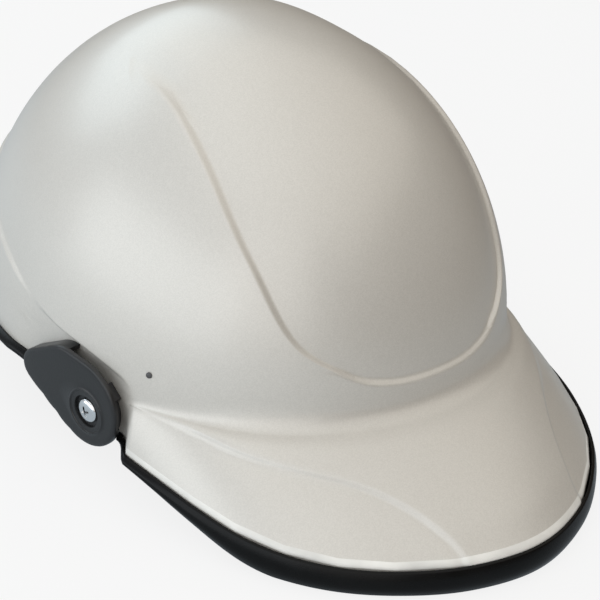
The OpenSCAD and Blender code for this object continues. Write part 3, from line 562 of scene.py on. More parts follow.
def metal(name, base, rough, scratch):
    m, nt, sh = material(name, {"Metallic": 1.0})
    v = coords(nt)
    drawn = node(nt, "ShaderNodeMapping", {"Vector": v, "Scale": (40.0, 900.0, 900.0)}).outputs[0]
    lines = noise(nt, drawn, 3.0, 4.0, 0.7)
    shaded(nt, sh, "Base Color", noise(nt, v, 120.0, 3.0), base, (0.3, 0.88), (0.75, 1.06))
    shaded(nt, sh, "Roughness", lines, (rough,), (0.3, 0.7), (0.7, 1.5))
    bumped(nt, sh, lines, scratch, 0.0002)
    return m


def bead_foam():
    """Moulded beads: cells with sunk borders and small pits."""
    m, nt, sh = material("bead_foam")
    v = coords(nt)
    cell = cells(nt, v, 330.0, "Distance", feature="DISTANCE_TO_EDGE")
    grey = first_channel(nt, cells(nt, v, 330.0, "Color"))
    edge = ramp(nt, cell, (0.0, (0.028, 0.029, 0.031)), (0.12, (0.052, 0.053, 0.057)))
    mixed(nt, sh, edge, ramp(nt, grey, (0.0, (0.040, 0.041, 0.045)), (1.0, (0.060, 0.061, 0.065))), 0.5)
    feed(nt, sh, "Roughness", grey, (0.0, (0.72,)), (1.0, (0.88,)))
    bumped(nt, sh, ramp(nt, cell, (0.0, (0.0,)), (0.2, (1.0,))), 0.45, 0.0006)
    return m


def knit_cloth():
    """Black spacer knit: rows of small open cells over a soft nap."""
    m, nt, sh = material("knit_black", {"Sheen Weight": 0.35, "Sheen Roughness": 0.5})
    v = coords(nt)
    settings = {"Vector": v, "Scale": 520.0, "Randomness": 0.25}
    cell = node(nt, "ShaderNodeTexVoronoi", settings, feature="F1").outputs["Distance"]
    nap = noise(nt, v, 1500.0, 2.0, 0.6)
    hole = ramp(nt, cell, (0.18, (0.006, 0.006, 0.007)), (0.42, (0.026, 0.026, 0.029)))
    tone = ramp(nt, noise(nt, v, 22.0, 3.0), (0.3, (0.018, 0.018, 0.020)), (0.75, (0.036, 0.036, 0.039)))
    mixed(nt, sh, hole, tone, 0.45)
    feed(nt, sh, "Roughness", nap, (0.3, (0.82,)), (0.7, (0.97,)))
    bumped(nt, sh, math_node(nt, "ADD", cell, math_node(nt, "MULTIPLY", nap, 0.25)), 0.7, 0.0005)
    return m


def woven_band():
    """Ribbed polyester band by its UV map in millimetres: weft ribs across, yarns along."""
    m, nt, sh = material("woven_black", {"Sheen Weight": 0.25})
    uv = node(nt, "ShaderNodeUVMap", uv_map="weave").outputs[0]
    sep = node(nt, "ShaderNodeSeparateXYZ", {"Vector": uv})
    rib, yarn = 1.1, 1.45
    weft = math_node(nt, "SINE", math_node(nt, "MULTIPLY", sep.outputs[0], 2 * PI / rib))
    warp = math_node(nt, "SINE", math_node(nt, "MULTIPLY", sep.outputs[1], 2 * PI / yarn))
    weave = math_node(nt, "MULTIPLY", weft, warp)
    fuzz = noise(nt, coords(nt), 1800.0, 2.0, 0.6)
    height = math_node(nt, "ADD", math_node(nt, "MULTIPLY", weave, 0.5), math_node(nt, "MULTIPLY", fuzz, 0.3))
    shade = math_node(nt, "ADD", math_node(nt, "MULTIPLY", weave, 0.35), 0.5)
    feed(nt, sh, "Base Color", shade, (0.1, (0.008, 0.008, 0.009)), (0.9, (0.034, 0.034, 0.037)))
    feed(nt, sh, "Roughness", fuzz, (0.3, (0.6,)), (0.7, (0.78,)))
    bumped(nt, sh, height, 0.6, 0.0004)
    return m


MAT = {
    "shell": pearl_paint(),
    "trim": rubber("edging_rubber", (0.004, 0.004, 0.004), 0.27, 0.16),
    "plate": plastic("plate_black", (0.012, 0.012, 0.0125), 0.36, 1100.0, 0.10),
    "inside": plastic("shell_inside", (0.30, 0.295, 0.285), 0.5, 500.0, 0.1),
    # Light plastic painted on the peak's rounded edge as the highlight that edge catches
    "edge": plastic("painted_edge_highlight", (0.80, 0.79, 0.75), 0.22, 900.0, 0.02),
    "rivet": plastic("rivet_grey", (0.085, 0.085, 0.087), 0.4, 1100.0, 0.08),
    "carrier": plastic("carrier_black", (0.022, 0.022, 0.023), 0.5),
    "chrome": metal("bright_chrome", (0.80, 0.81, 0.82), 0.12, 0.05),
    "steel": metal("zinc_steel", (0.56, 0.57, 0.58), 0.34, 0.2),
    "foam": bead_foam(),
    "cloth": knit_cloth(),
    "piping": rubber("piping_cloth", (0.03, 0.03, 0.032), 0.75),
    "webbing": woven_band(),
    "thread": plastic("thread_grey", (0.10, 0.10, 0.105), 0.8, 3000.0, 0.3),
    "buckle": plastic("buckle_black", (0.020, 0.020, 0.021), 0.42, 1300.0, 0.2),
    "red": plastic("button_red", (0.42, 0.018, 0.014), 0.34, 900.0, 0.06),
    "keeper": rubber("keeper_rubber", (0.022, 0.022, 0.022), 0.62),
}


def put(ob, body, slot, mat, *nodes):
    ob.data.materials.clear()
    ob.data.materials.append(MAT[mat])
    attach(ob, body)
    if nodes:
        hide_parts(*nodes)
    return ob


# Shell: one closed wall, grey inside, with a painted highlight along the rounded edge above the peak's rubber
outer, inner = shell_surfaces()
skin = np.concatenate([both(outer), both(inner)[::-1]])
shell = put(loft("shell", skin), "helmet", "shell_paint", "shell", "outer_shell")
shell.data.materials.append(MAT["inside"])
shell.data.materials.append(MAT["edge"])
beside = np.roll(skin, -1, axis=1)
middles = ((skin[:-1] + skin[1:] + beside[1:] + beside[:-1]) / 4).reshape(-1, 3) * MM
spots = KDTree(len(middles))
for k, v in enumerate(middles):
    spots.insert(Vector(v), k)
spots.balance()
OUTER_ROWS = len(outer)
CROWN_HOLE_Z, EDGE_BACK_Y = 0.17, -0.066
for poly in shell.data.polygons:
    row = spots.find(poly.center)[1] // skin.shape[1]
    if row >= OUTER_ROWS or poly.center.z > CROWN_HOLE_Z and poly.normal.z < 0:
        poly.material_index = 1
    # Painted highlight: the rows of the rounded edge along the peak get the light plastic
    elif OUTER_ROWS - 9 <= row <= OUTER_ROWS - 6 and poly.center.y < EDGE_BACK_Y:
        poly.material_index = 2


# Edge trims: a rubber channel with a round outside, swept along the shell's foot
def corner(a, p, b, radius, share, steps):
    """Points of the round at the corner p between its neighbours a and b."""
    la, lb = np.linalg.norm(a - p), np.linalg.norm(b - p)
    r = min(radius, share * la, share * lb)
    return [bend(p + (a - p) / la * r, p, p + (b - p) / lb * r, t) for t in np.linspace(0, 1, steps + 1)]


def round_corners(pts, radii):
    """Closed 2-D outline with each corner rounded."""
    p = np.array(pts, float)
    corners = zip(np.roll(p, 1, 0), p, np.roll(p, -1, 0), radii)
    return np.array([q for a, b, c, r in corners for q in corner(a, b, c, r, 0.45, 3)])


def at_foot(th, j):
    """A point of the shell's lower edge with the band's lift and the pocket's sink."""
    p = bare_point(th, j)
    p = p + float(band_rise(th)) * polar(th, 1.0, 0.0)
    if 57 < th < 120:
        p = p - max(0.0, float(p @ POCKET_AXIS) - POCKET) * (1 - float(flare(th))) * POCKET_AXIS
    return p


def trim_ring(th):
    foot, rim = at_foot(th, 27.0), at_foot(th, float(EDGE_ROW))
    r = max(np.hypot(*foot[:2]), np.hypot(*rim[:2])) - 0.25 * float(sm((th - 150) / 20))
    out = polar(th, 1.0, 0.0)
    along = at_foot(min(th + 1, 180), 27.0) - at_foot(max(th - 1, 0), 27.0)
    ahead = at_foot(min(th + 3, 180), 27.0) - at_foot(min(th + 1, 178), 27.0)
    lean = max(0.45, min(abs(d[0] * out[1] - d[1] * out[0]) / np.hypot(*d[:2]) for d in (along, ahead)))
    raised = 1.6 * float(sm((th - 26) / 22)) if th < 70 else 0.0
    top, low = float(edge_z(th)) - 0.8, float(foot_z(th)) + raised
    h = top - low
    mid = foot[2] - 0.2
    grip = mid + min(5, 0.7 * float(flange_h(th)))
    w = WALL / lean + TRIM_PLAY + 1.0
    q = [[TRIM_PLAY, top], [TRIM_PLAY + 1.3, top - 0.2], [BULGE - 0.3, low + 0.65 * h],
         [BULGE, low + 0.35 * h], [BULGE - 1.4, low + 0.7], [BULGE - 2.8, low], [-w - 0.8, low],
         [-w - 2, low + 1], [-w - 1.6, grip], [-w, grip], [-w, mid], [TRIM_PLAY, mid]]
    q = round_corners(q, [0.3, 1.2, 3.0, 3.0, 1.2, 1.5, 1.2, 1.2, 0.7, 0.6, 0.3, 0.3])
    return np.array([(r + a) * out + np.array([0, 0, b]) for a, b in q])


def sweep_trim(name, half_angles, front):
    half = np.array([trim_ring(t) for t in half_angles])
    other = half[::-1] * FLIP
    return sharpen(loft(name, np.concatenate([other, half[1:]] if front else [half, other[1:]])), 50)


peak_edging = sweep_trim("peak_edging", np.linspace(0, 60.6, 92), True)
rear_edging = sweep_trim("rear_edging", np.linspace(80.15, 180, 90), False)
put(peak_edging, "helmet", "trim_rubber", "trim", "peak_trim")
put(rear_edging, "helmet", "trim_rubber", "trim", "rear_trim")

# Side plates
PLATE_ARCS = [(PIVOT_F - 2, PIVOT_Z + 3, PLATE_R), (PIVOT_F - 14, PIVOT_Z + 7, PLATE_R - 3),
              (PIVOT_F - 34, PIVOT_Z + 6, 8.0)]
PIVOT = np.array([PIVOT_F, PIVOT_Z])
FACE = POCKET + PLATE_D
BACK = FACE - PLATE_F
PLATE_FOOT = POCKET + 0.15
RECESS, RECESS_FLOOR = HEAD_R + 1.75, FACE - 1.8


def outline(inset, n=720):
    d = circle(n)
    x, y, r = np.array(PLATE_ARCS).T
    k = (d @ [x, y] + r).argmax(1)
    return np.stack([x, y], -1)[k] + (r[k] - inset)[:, None] * d


def outline_at(phi, inset):
    """Distance from the pivot to the outline in the directions phi."""
    p = outline(inset) - PIVOT
    seg = np.concatenate([p, p[:1]])
    fine = np.array([mix(seg[i], seg[i + 1], t) for i in range(len(p)) for t in (0.0, 0.34, 0.67)])
    a, r = np.arctan2(fine[:, 1], fine[:, 0]), np.hypot(fine[:, 0], fine[:, 1])
    o = np.argsort(a)
    return np.interp(phi, np.concatenate([a[o] - 2 * PI, a[o], a[o] + 2 * PI]), np.tile(r[o], 3))


def on_pocket(p, side):
    """From pocket axes (forward, up, out) to the helmet's; side -1 is the wearer's right."""
    c, s = cosd(SLANT), sind(SLANT)
    p = np.asarray(p, float)
    return np.stack([side * (p[..., 2] * c - p[..., 0] * s), -(p[..., 2] * s + p[..., 0] * c), p[..., 1]], -1)


def plate_rim():
    """Rings of the rim under the face, deep along the top and open around the carrier's lug."""
    n = 360
    o0, o1 = outline(0.0, n), outline(2.0, n)
    mid = (o0 + o1) / 2 - PIVOT
    ang = np.degrees(np.arctan2(mid[:, 1], mid[:, 0])) % 360
    gap = (ang < 117) | (ang > 354.5)
    start = [i for i in range(n) if not gap[i] and gap[i - 1]][0]
    rings = []
    for i in [(start + i) % n for i in range(n) if not gap[(start + i) % n]]:
        deep = o0[i][1] > PIVOT_Z + 9 and o0[i][0] < 40
        low = PLATE_FOOT if deep else POCKET + 4.6
        rings.append([[*o0[i], BACK + 0.3], [*o0[i], low + 0.25], [*mix(o0[i], o1[i], 0.15), low],
                      [*mix(o0[i], o1[i], 0.85), low], [*o1[i], low + 0.25], [*o1[i], BACK + 0.3]])
    return np.array(rings)


def plate_mesh(name, side):
    """Face with its screw recess and raised ring, rounded edge, hub behind, and the rim."""
    n = 144
    phi = np.linspace(-PI, PI, n, endpoint=False)
    cs = circle(n, -PI)

    def ring(r, z):
        return np.concatenate([PIVOT + np.reshape(r, (-1, 1)) * cs, np.full((n, 1), z)], 1)
    low = [(-0.55, 0.0), (-0.15, 0.12), (0.0, 0.5)]
    face = [(0.0, -0.3), (0.1, -0.08), (0.35, 0.0), (2.15, 0.0), (2.3, 0.12), (2.5, 0.42), (2.8, 0.5),
            (3.1, 0.42), (3.4, 0.12), (3.65, 0.0)]
    prof = [(2.62, PLATE_FOOT), (2.62, RECESS_FLOOR - 0.15), (2.8, RECESS_FLOOR)]
    prof += [(RECESS + r, RECESS_FLOOR + z) for r, z in low] + [(RECESS + r, FACE + z) for r, z in face]
    rings = [ring(r, z) for r, z in prof]
    rings += [ring(mix(prof[-1][0], outline_at(phi, 2.2), t), FACE - 0.02 * t) for t in (0.25, 0.5, 0.75)]
    edge = [(2.2, FACE - 0.02), (1.2, FACE - 0.10), (0.75, FACE - 0.28), (0.36, FACE - 0.62),
            (0.1, FACE - 1.1), (0.0, FACE - 1.7), (0.0, BACK + 0.02), (0.15, BACK)]
    rings += [ring(outline_at(phi, inset), z) for inset, z in edge]
    hub = [(HUB_R + 4, BACK), (HUB_R + 4, BACK - 1.2), (HUB_R, BACK - 1.2), (HUB_R, PLATE_FOOT)]
    rings += [ring(r, z) for r, z in hub]
    rim = plate_rim()
    faces = skin_faces(len(rings), n, around=True) + skin_faces(len(rim), 6, base=len(rings) * n)
    points = np.concatenate([np.reshape(rings, (-1, 3)), rim.reshape(-1, 3)])
    return sharpen(mesh_piece(name, on_pocket(points, side), faces), 38)


def cross_cutter():
    """Two tapered bars across each other."""
    verts, faces = [], []
    for a in (0.35, 0.35 + PI / 2):
        turn = np.array([[math.cos(a), math.sin(a)], [-math.sin(a), math.cos(a)]])
        sides = ([0, 3, 2, 1], [4, 5, 6, 7], [0, 1, 5, 4], [1, 2, 6, 5], [2, 3, 7, 6], [3, 0, 4, 7])
        faces += [[len(verts) + i for i in f] for f in sides]
        for z, w, l in ((0.7, 0.25, 1.1), (3.2, 0.62, 3.1)):
            xy = np.array([(-l, -w), (l, -w), (l, w), (-l, w)]) @ turn
            verts += [(x * MM, y * MM, z * MM) for x, y in xy.tolist()]
    me = bpy.data.meshes.new("cross_cut")
    me.from_pydata(verts, [], faces)
    return linked("cross_cut", me)


def screw_mesh(name, side):
    """Pan head with a cross recess, shank and a short taper."""
    prof = [(0.0, -12.0), (2.0, -12.0), (2.5, -11.5), (2.5, 0.0), (5.3, 0.0), (5.5, 0.15), (5.5, 0.75),
            (5.35, 1.15), (4.9, 1.6), (4.1, 2.0), (3.0, 2.32), (1.6, 2.52), (0.0, 2.58)]
    head = loft(name, turned(prof, 64), caps=False)
    cutter = cross_cutter()
    modify(head, "BOOLEAN", object=cutter, operation="DIFFERENCE", solver="EXACT", use_self=True)
    bpy.data.objects.remove(cutter)
    move_points(head, on_pocket(points_of(head) + [PIVOT_F, PIVOT_Z, RECESS_FLOOR + 0.02], side))
    with edited(head.data) as bm:
        bmesh.ops.recalc_face_normals(bm, faces=bm.faces)
    return sharpen(head, 28)


for side, word in ((-1, "right"), (1, "left")):
    put(plate_mesh("plate_" + word, side), "helmet", "plate_plastic", "plate", "side_plate_" + word)
    put(screw_mesh("screw_" + word, side), "helmet", "chrome_metal", "chrome", "plate_screws")

# Foam liner
LIN = WALL + PANEL + LINER_GAP
P_SIDE, P_ENDS, P_CROWN = LIN + LINER_SIDE, LIN + LINER_ENDS, LIN + LINER_CROWN
LINER_FLAT = POCKET - WALL - 0.6
INNER_FLAT = LINER_FLAT - LINER_SIDE + 2


def inside_pocket(p, dist):
    return p - np.maximum(0, p @ POCKET_AXIS - dist)[..., None] * POCKET_AXIS


def cap_point(th, part, x, e, t):
    """A point of the cap at a share of the way from the crown to its edge, set in by x, e and t."""
    th, part = np.broadcast_arrays(np.asarray(th, float), np.asarray(part, float))
    top, end = CROWN - t, liner_z(th)
    down = np.where(end > WAIST, np.degrees(np.arccos(np.clip((end - WAIST) / (top - WAIST), -1, 1))), 90)
    upper = (end > WAIST) | (part < 0.8)
    z = np.where(upper, WAIST + (top - WAIST) * cosd(down * np.where(end > WAIST, part, part / 0.8)),
                 mix(WAIST, end, (part - 0.8) / 0.2))
    return dome(th, z, x, e, e, t)


def liner_piece():
    th = np.linspace(0, 180, 91)
    parts = np.concatenate([[0.012], np.linspace(0.04, 0.9, 34), [0.93, 0.955, 0.972, 0.984], [1.0]])[:, None]
    out = inside_pocket(cap_point(th, parts, LIN, LIN, LIN), LINER_FLAT)
    inn = inside_pocket(cap_point(th, parts, P_SIDE, P_ENDS, P_CROWN), INNER_FLAT)
    lo, li = out[-1], inn[-1]
    rim = []
    for a, b, c in ((out[-2], lo, mix(lo, li, 0.16)), (mix(lo, li, 0.84), li, inn[-2])):
        rim += [bend(a, b, c, t) for t in (0.25, 0.5, 0.75, 1.0)]
    rim.insert(4, mix(lo, li, 0.5))
    return loft("foam_liner", both(np.concatenate([out[:-1], np.array(rim[:-1]), inn[-2::-1]])))


liner = put(liner_piece(), "helmet", "liner_foam", "foam", "impact_liner")
bpy.context.view_layer.update()
LINER_TREE = tree_of(liner)
SEAT = PAD_GAP + 0.6


# Comfort pads, blown up by cloth simulation from slim closed forms; u and v run from -1 to 1 over each
def flipped(p, where):
    return p * np.where(where[..., None], FLIP, 1)


def set_in_dome(th, z, deep):
    return dome(np.abs(th), z, P_SIDE + deep, P_ENDS + deep, P_ENDS + deep, P_CROWN + deep)


def on_liner(th, z, deep):
    return flipped(inside_pocket(set_in_dome(th, z, deep), INNER_FLAT - deep), th < 0)


def fill_at(u, v, full=PAD_T * 0.72, base=2.0):
    return base + (full - base) * np.sqrt(np.maximum(0, (1 - np.abs(u) ** 4) * (1 - np.abs(v) ** 4)))


def chin_fill(u, v):
    return fill_at(u, v, 4.4, 1.2)


def band_pad(th_mid, th_half, z_mid, z_half):
    def at(u, v, deep):
        z = z_mid + z_half * v * (1 - 0.12 * u ** 4)
        return on_liner(th_mid + th_half * u * (1 - 0.1 * v ** 4), z, deep)
    return at


def nape_at(u, v, deep):
    turn = 36 * u * (1 - 0.1 * v ** 4)
    return flipped(on_liner(180 - np.abs(turn), 44 + 14 * v * (1 - 0.12 * u ** 4), deep), turn <= 0)


def crown_at(u, v, deep):
    """A round pad: u and v cover the disc's square, squeezed into the circle."""
    x, y = u * np.sqrt(1 - v * v / 2), v * np.sqrt(1 - u * u / 2)
    down, th = 26 * np.hypot(x, y), np.degrees(np.arctan2(x, y))
    z = WAIST + (CROWN - P_CROWN - deep - WAIST) * cosd(down)
    return flipped(set_in_dome(th, z, deep), th < 0)


def chin_at(u, v, deep):
    return strap_pt(-25 * u, 11 * v * (1 - 0.1 * u ** 4), -DEPTH + WEB_T / 2 + 0.15 + deep)


def slab_mesh(name, at, nu, nv, seat, fill):
    """A slim closed form, and the middle line of its border."""
    u, v = np.meshgrid(np.linspace(-1, 1, nu + 1), np.linspace(-1, 1, nv + 1), indexing="ij")
    back = at(u, v, seat + 0 * u).reshape(-1, 3)
    front = at(u, v, seat + fill(u, v)).reshape(-1, 3)
    k = len(back)
    idx = np.arange(k).reshape(nu + 1, nv + 1)
    faces = []
    for i in range(nu):
        for j in range(nv):
            q = [idx[i, j], idx[i + 1, j], idx[i + 1, j + 1], idx[i, j + 1]]
            faces += [q, [k + w for w in q[::-1]]]
    border = [*idx[0], *idx[1:, nv], *idx[nu, :-1][::-1], *idx[1:-1, 0][::-1]]
    faces += [[a, b, k + b, k + a] for a, b in zip(border, border[1:] + border[:1])]
    return mesh_piece(name, np.concatenate([back, front]), faces), (back[border] + front[border]) / 2


CLOTH = {"quality": 6, "mass": 0.12, "use_pressure": True, "uniform_pressure_force": 4.0,
         "tension_stiffness": 9, "compression_stiffness": 9, "bending_stiffness": 0.6,
         "vertex_group_mass": "pin"}
CLOTH_FRAMES = 20


def blow_up(ob, travel, tree):
    """Cloth pressure with what lies on the seat pinned and the travel capped."""
    start = points_of(ob)
    pin = ob.vertex_groups.new(name="pin")
    near = [tree.find_nearest(Vector(p * MM))[3] for p in start]
    pin.add([i for i, d in enumerate(near) if d < (SEAT + 0.9) * MM], 1.0, "REPLACE")
    c = ob.modifiers.new("cloth", "CLOTH")
    for key, v in CLOTH.items():
        setattr(c.settings, key, v)
    c.settings.effector_weights.gravity = 0
    c.collision_settings.use_collision = False
    for f in range(1, CLOTH_FRAMES + 1):
        bpy.context.scene.frame_set(f)
    apply_mods(ob)
    bpy.context.scene.frame_set(1)
    ob.vertex_groups.clear()
    move = points_of(ob) - start
    size = np.maximum(np.linalg.norm(move, axis=1), 1e-6)
    move_points(ob, start + move * np.minimum(1, travel / size)[:, None])


def ease_off(ob, tree, gap):
    """Lifts what lies less than the gap above a surface."""
    for v in ob.data.vertices:
        p, nrm, _, _ = tree.find_nearest(v.co)
        side = (v.co - p).dot(nrm)
        if side < gap * MM:
            v.co = v.co + nrm * (gap * MM - side)
    ob.data.update()


def lengths(p):
    """Distances along a line of points."""
    return np.concatenate([[0], np.cumsum(np.linalg.norm(np.diff(p, axis=0), axis=1))])


def along_line(p, d, s):
    return np.stack([np.interp(s, d, p[:, k]) for k in range(p.shape[1])], -1)


def resample(pts, step):
    """Even steps along a closed line."""
    p = np.concatenate([pts, pts[:1]])
    d = lengths(p)
    return along_line(p, d, np.linspace(0, d[-1], max(12, int(d[-1] / step)), endpoint=False))


def smooth_line(p, times):
    for _ in range(times):
        p = (np.roll(p, 1, 0) + 2 * p + np.roll(p, -1, 0)) / 4
    return p


def tube(name, pts, r, n=10):
    """Round closed tube along points in millimetres."""
    pts = np.array(pts, float)
    dirs = unit(np.roll(pts, -1, 0) - np.roll(pts, 1, 0))
    across = unit(np.cross(dirs[0], [0.3, 0.2, 1.0]))
    rings = []
    for p, d in zip(pts, dirs):
        across = unit(across - d * across.dot(d))
        rings.append(p + r * circle(n) @ np.array([across, np.cross(d, across)]))
    return loft(name, rings, around=True)


def sew_channel(ob, at, u, seat, tree):
    """Presses the front in along a line of constant u."""
    co = points_of(ob)
    vv = np.linspace(-0.93, 0.93, 60)
    line = at(u + 0 * vv, vv, seat + fill_at(u + 0 * vv, vv, PAD_T) * 0.8)
    d = np.min(np.linalg.norm(co[:, None] - line[None], axis=2), axis=1)
    above = np.array([tree.find_nearest(Vector(p * MM))[3] for p in co]) / MM
    return 1.5 * np.exp(-(d / 2.2) ** 2) * np.clip((above - 2.5) / 3, 0, 1)


def border_piping(ob, name, border, pipe, tree):
    """A piping along the seam, kept off what the pad lies on."""
    own = tree_of(ob)
    loop = []
    for p in smooth_line(resample(border, 2.0), 6):
        q, nn, _, _ = own.find_nearest(Vector(p * MM))
        loop.append(np.array(q) / MM + np.array(nn) * 0.25 * pipe)
    safe = []
    for p in smooth_line(resample(smooth_line(np.array(loop), 4), 1.6), 2):
        q, nn, _, _ = tree.find_nearest(Vector(p * MM))
        side = (Vector(p * MM) - q).dot(nn) / MM
        safe.append(p + np.array(nn) * max(0, pipe + 0.3 - side))
    return tube(name + "_piping", safe, pipe)


def cushion(node_name, at, nu, nv, channels=(), body="helmet", seat=SEAT, fill=fill_at, voxel=3.0, travel=5.0,
            tree=LINER_TREE, pipe=1.0, gap=0.35):
    name = node_name.replace("pad", "cushion")
    ob, border = slab_mesh(name, at, nu, nv, seat, fill)
    modify(ob, "REMESH", mode="VOXEL", voxel_size=voxel * MM)
    blow_up(ob, travel, tree)
    modify(ob, "SUBSURF", levels=1, render_levels=1)
    ease_off(ob, tree, gap)
    smooth_shade(ob)
    modify(ob, "SUBSURF", levels=1, render_levels=1)
    nrm = np.array([v.normal for v in ob.data.vertices])
    for u in channels:
        move_points(ob, points_of(ob) - nrm * sew_channel(ob, at, u, seat, tree)[:, None])
    piping = border_piping(ob, name, border, pipe, tree)
    put(ob, body, "pad_cloth", "cloth", node_name)
    put(piping, body, "pad_cloth", "piping")
    join(ob, piping)


# Chin strap: axes of the two halves, in millimetres
HANG_X, HANG_T = 104.8, 1.5
WEB_X = HANG_X - HANG_T / 2
EYE_TOP, EYE_LOW, HANG_END = 12.9, 15.0, 19.0
JOIN = HANG_END + 2.5
RUN = math.hypot(CHIN_HALF - WEB_X, JOIN - DEPTH)
DX, DZ = (CHIN_HALF - WEB_X) / RUN, (JOIN - DEPTH) / RUN
CHIN_R = 22.0
TANGENT = CHIN_R * math.tan((PI + math.atan2(DZ, DX)) / 2)
HOUSE_S = 16.0
PLY = 0.82


def strap_pt(x, y, z):
    c, s = cosd(LIE), sind(LIE)
    x, y, z = np.broadcast_arrays(np.asarray(x, float), np.asarray(y, float), np.asarray(z, float))
    return np.stack([x, -ANCHOR_F + y * c - z * s, ANCHOR_Z + y * s + z * c], -1)


def run_xz(s, off=0.0):
    """A point of the left run, off outward."""
    return np.array([WEB_X + s * DX - off * DZ, -JOIN + s * DZ + off * DX])


def on_run(s0, p, side=1):
    """From run axes (down the webbing, across, outward) to the helmet's; side 1 is the wearer's left."""
    p = np.asarray(p, float)
    x, z = run_xz(s0 + p[..., 0], p[..., 2])
    return strap_pt(side * x, p[..., 1], z)


def round_path(pts, radius):
    """Open 2-D line with rounded corners."""
    p = np.array(pts, float)
    bends = [q for k in range(1, len(p) - 1) for q in corner(p[k - 1], p[k], p[k + 1], radius, 0.48, 6)]
    return np.array([p[0], *bends, p[-1]])


def finer(path, step):
    d = lengths(path)
    s = np.unique(np.concatenate([d, np.linspace(0, d[-1], int(d[-1] / step) + 2)]))
    return along_line(path, d, s[np.concatenate([[True], np.diff(s) > 0.05])])


def band_section(t=1.4):
    """Section of the webbing across its width, with rolled edges, as (across, height) pairs."""
    w = WEB_W / 2
    half = [(-w, 0.18), (-w + 0.55, 0.42), (-w + 1.3, 0.62), (-w * 0.62, 0.5), (-w * 0.3, 0.5)]
    top = half + [(0, 0.5)] + [(-y, h) for y, h in half[::-1]]
    sec = [(-w, -0.18)] + top + [(y, -h) for y, h in top[:0:-1]]
    return np.array([(y, h * t * (0.8 if abs(h) > 0.6 else 1)) for y, h in sec])


def ribbon(name, path, side=1):
    """Woven band along a line of the strap's plane, with a UV map in millimetres."""
    path = finer(np.asarray(path, float), 2.0)
    d = unit(np.gradient(path, axis=0))
    y, h = band_section().T
    ob = loft(name, [strap_pt(side * (p[0] - h * t[1]), y, p[1] + h * t[0]) for p, t in zip(path, d)])
    uv = ob.data.uv_layers.new(name="weave")
    run = lengths(path)
    for loop in ob.data.loops:
        row, k = divmod(loop.vertex_index, len(y))
        uv.data[loop.index].uv = (run[row], y[k])
    return sharpen(ob, 60)


THREAD_R, PITCH, STITCH = 0.28, 2.6, 1.9
THREAD_PROF = [(0.0, 0.35, -0.6), (0.12, 0.8, -0.1), (0.5, 1.0, 0.25), (0.88, 0.8, -0.1), (1.0, 0.35, -0.6)]


def box_stitch(name, s0, s1, off, side, body):
    """Thread stitches in a box with a cross between s0 and s1 of a run, on the face at off."""
    up = on_run(0, [0.0, 0.0, 1.0], side) - on_run(0, [0.0, 0.0, 0.0], side)
    half = 8.2
    box = np.array([(s0, -half, off), (s1, -half, off), (s1, half, off), (s0, half, off)])
    verts, faces = [], []
    for a, b in ((0, 1), (1, 2), (2, 3), (3, 0), (0, 2), (3, 1)):
        pts = on_run(0, mix(box[a], box[b], np.linspace(0, 1, 12)[:, None]), side)
        run = lengths(pts)
        for s in np.arange(0.3, run[-1] - STITCH, PITCH):
            start, end = along_line(pts, run, s), along_line(pts, run, s + STITCH)
            across = np.cross(unit(end - start), up)
            faces += skin_faces(len(THREAD_PROF), 6, base=len(verts))
            for t, rad, lift in THREAD_PROF:
                verts += list(mix(start, end, t) + up * lift * THREAD_R
                              + rad * THREAD_R * circle(6) @ np.array([across, up]))
    put(mesh_piece(name, verts, faces), body, "webbing", "thread")


def hanger_loop():
    """Webbing round the hanger's bar: the short ply outside, then over the bar and down the long ply."""
    side = [(1.75, 0.5 - HANG_END), (1.75, 0.4 - EYE_LOW), (0.9, -EYE_TOP - 0.98)]
    bar = [np.array([WEB_X + x, z]) for x, z in side + [(-x, z) for x, z in side[::-1]]]
    return [run_xz(12.8, PLY), run_xz(0.8, PLY)] + bar + [run_xz(0.8, -PLY)]


def chin_line():
    """The long webbing from the tongue under the chin to the run's start on the right."""
    turn = [(58.5, PLY), (55.5, 1.95), (51.0, 2.05), (48.95, 1.0)]
    turn += [(s, -off) for s, off in turn[::-1]]
    line = [run_xz(84.5, PLY)] + [run_xz(HOUSE_S + s, off) for s, off in turn]
    line += [run_xz(84.0, -PLY), run_xz(87.0)]
    down = [run_xz(s) for s in np.linspace(86, RUN - TANGENT, 6)][1:]
    inward = np.array([DZ, -DX])
    centre = down[-1] + CHIN_R * inward
    a0 = math.degrees(math.atan2(-inward[1], -inward[0]))
    down += [centre + CHIN_R * np.array([cosd(a), sind(a)]) for a in np.linspace(a0, -90, 14)[1:]]
    up = down[::-1] + [run_xz(s) for s in (*np.linspace(80, 17, 8), 15.5)] + [run_xz(13.0, -PLY)]
    return line + down + [p * [-1, 1] for p in up + hanger_loop()[::-1]]


left_path = hanger_loop() + [run_xz(13.0, -PLY), run_xz(15.4), run_xz(HOUSE_S + 6.3)]
put(ribbon("webbing_short", round_path(left_path, 3)), "strap_left", "webbing", "webbing", "webbing_left")
long_web = ribbon("webbing_long", round_path(chin_line(), 2.2))
put(long_web, "strap_right", "webbing", "webbing", "webbing_right")
tail_path = [run_xz(s, 1.72) for s in (60.0, 70.0, 90.0, 99.9)]
put(ribbon("webbing_tail", tail_path, side=-1), "strap_right", "webbing", "webbing")
box_stitch("stitch_left", 2.5, 11.8, 1.62, 1, "strap_left")
box_stitch("stitch_right", 2.5, 11.8, 1.62, -1, "strap_right")
box_stitch("stitch_tongue", 76.0, 83.0, 1.62, 1, "strap_right")
box_stitch("stitch_tail", 60.8, 66.0, 2.46, -1, "strap_right")


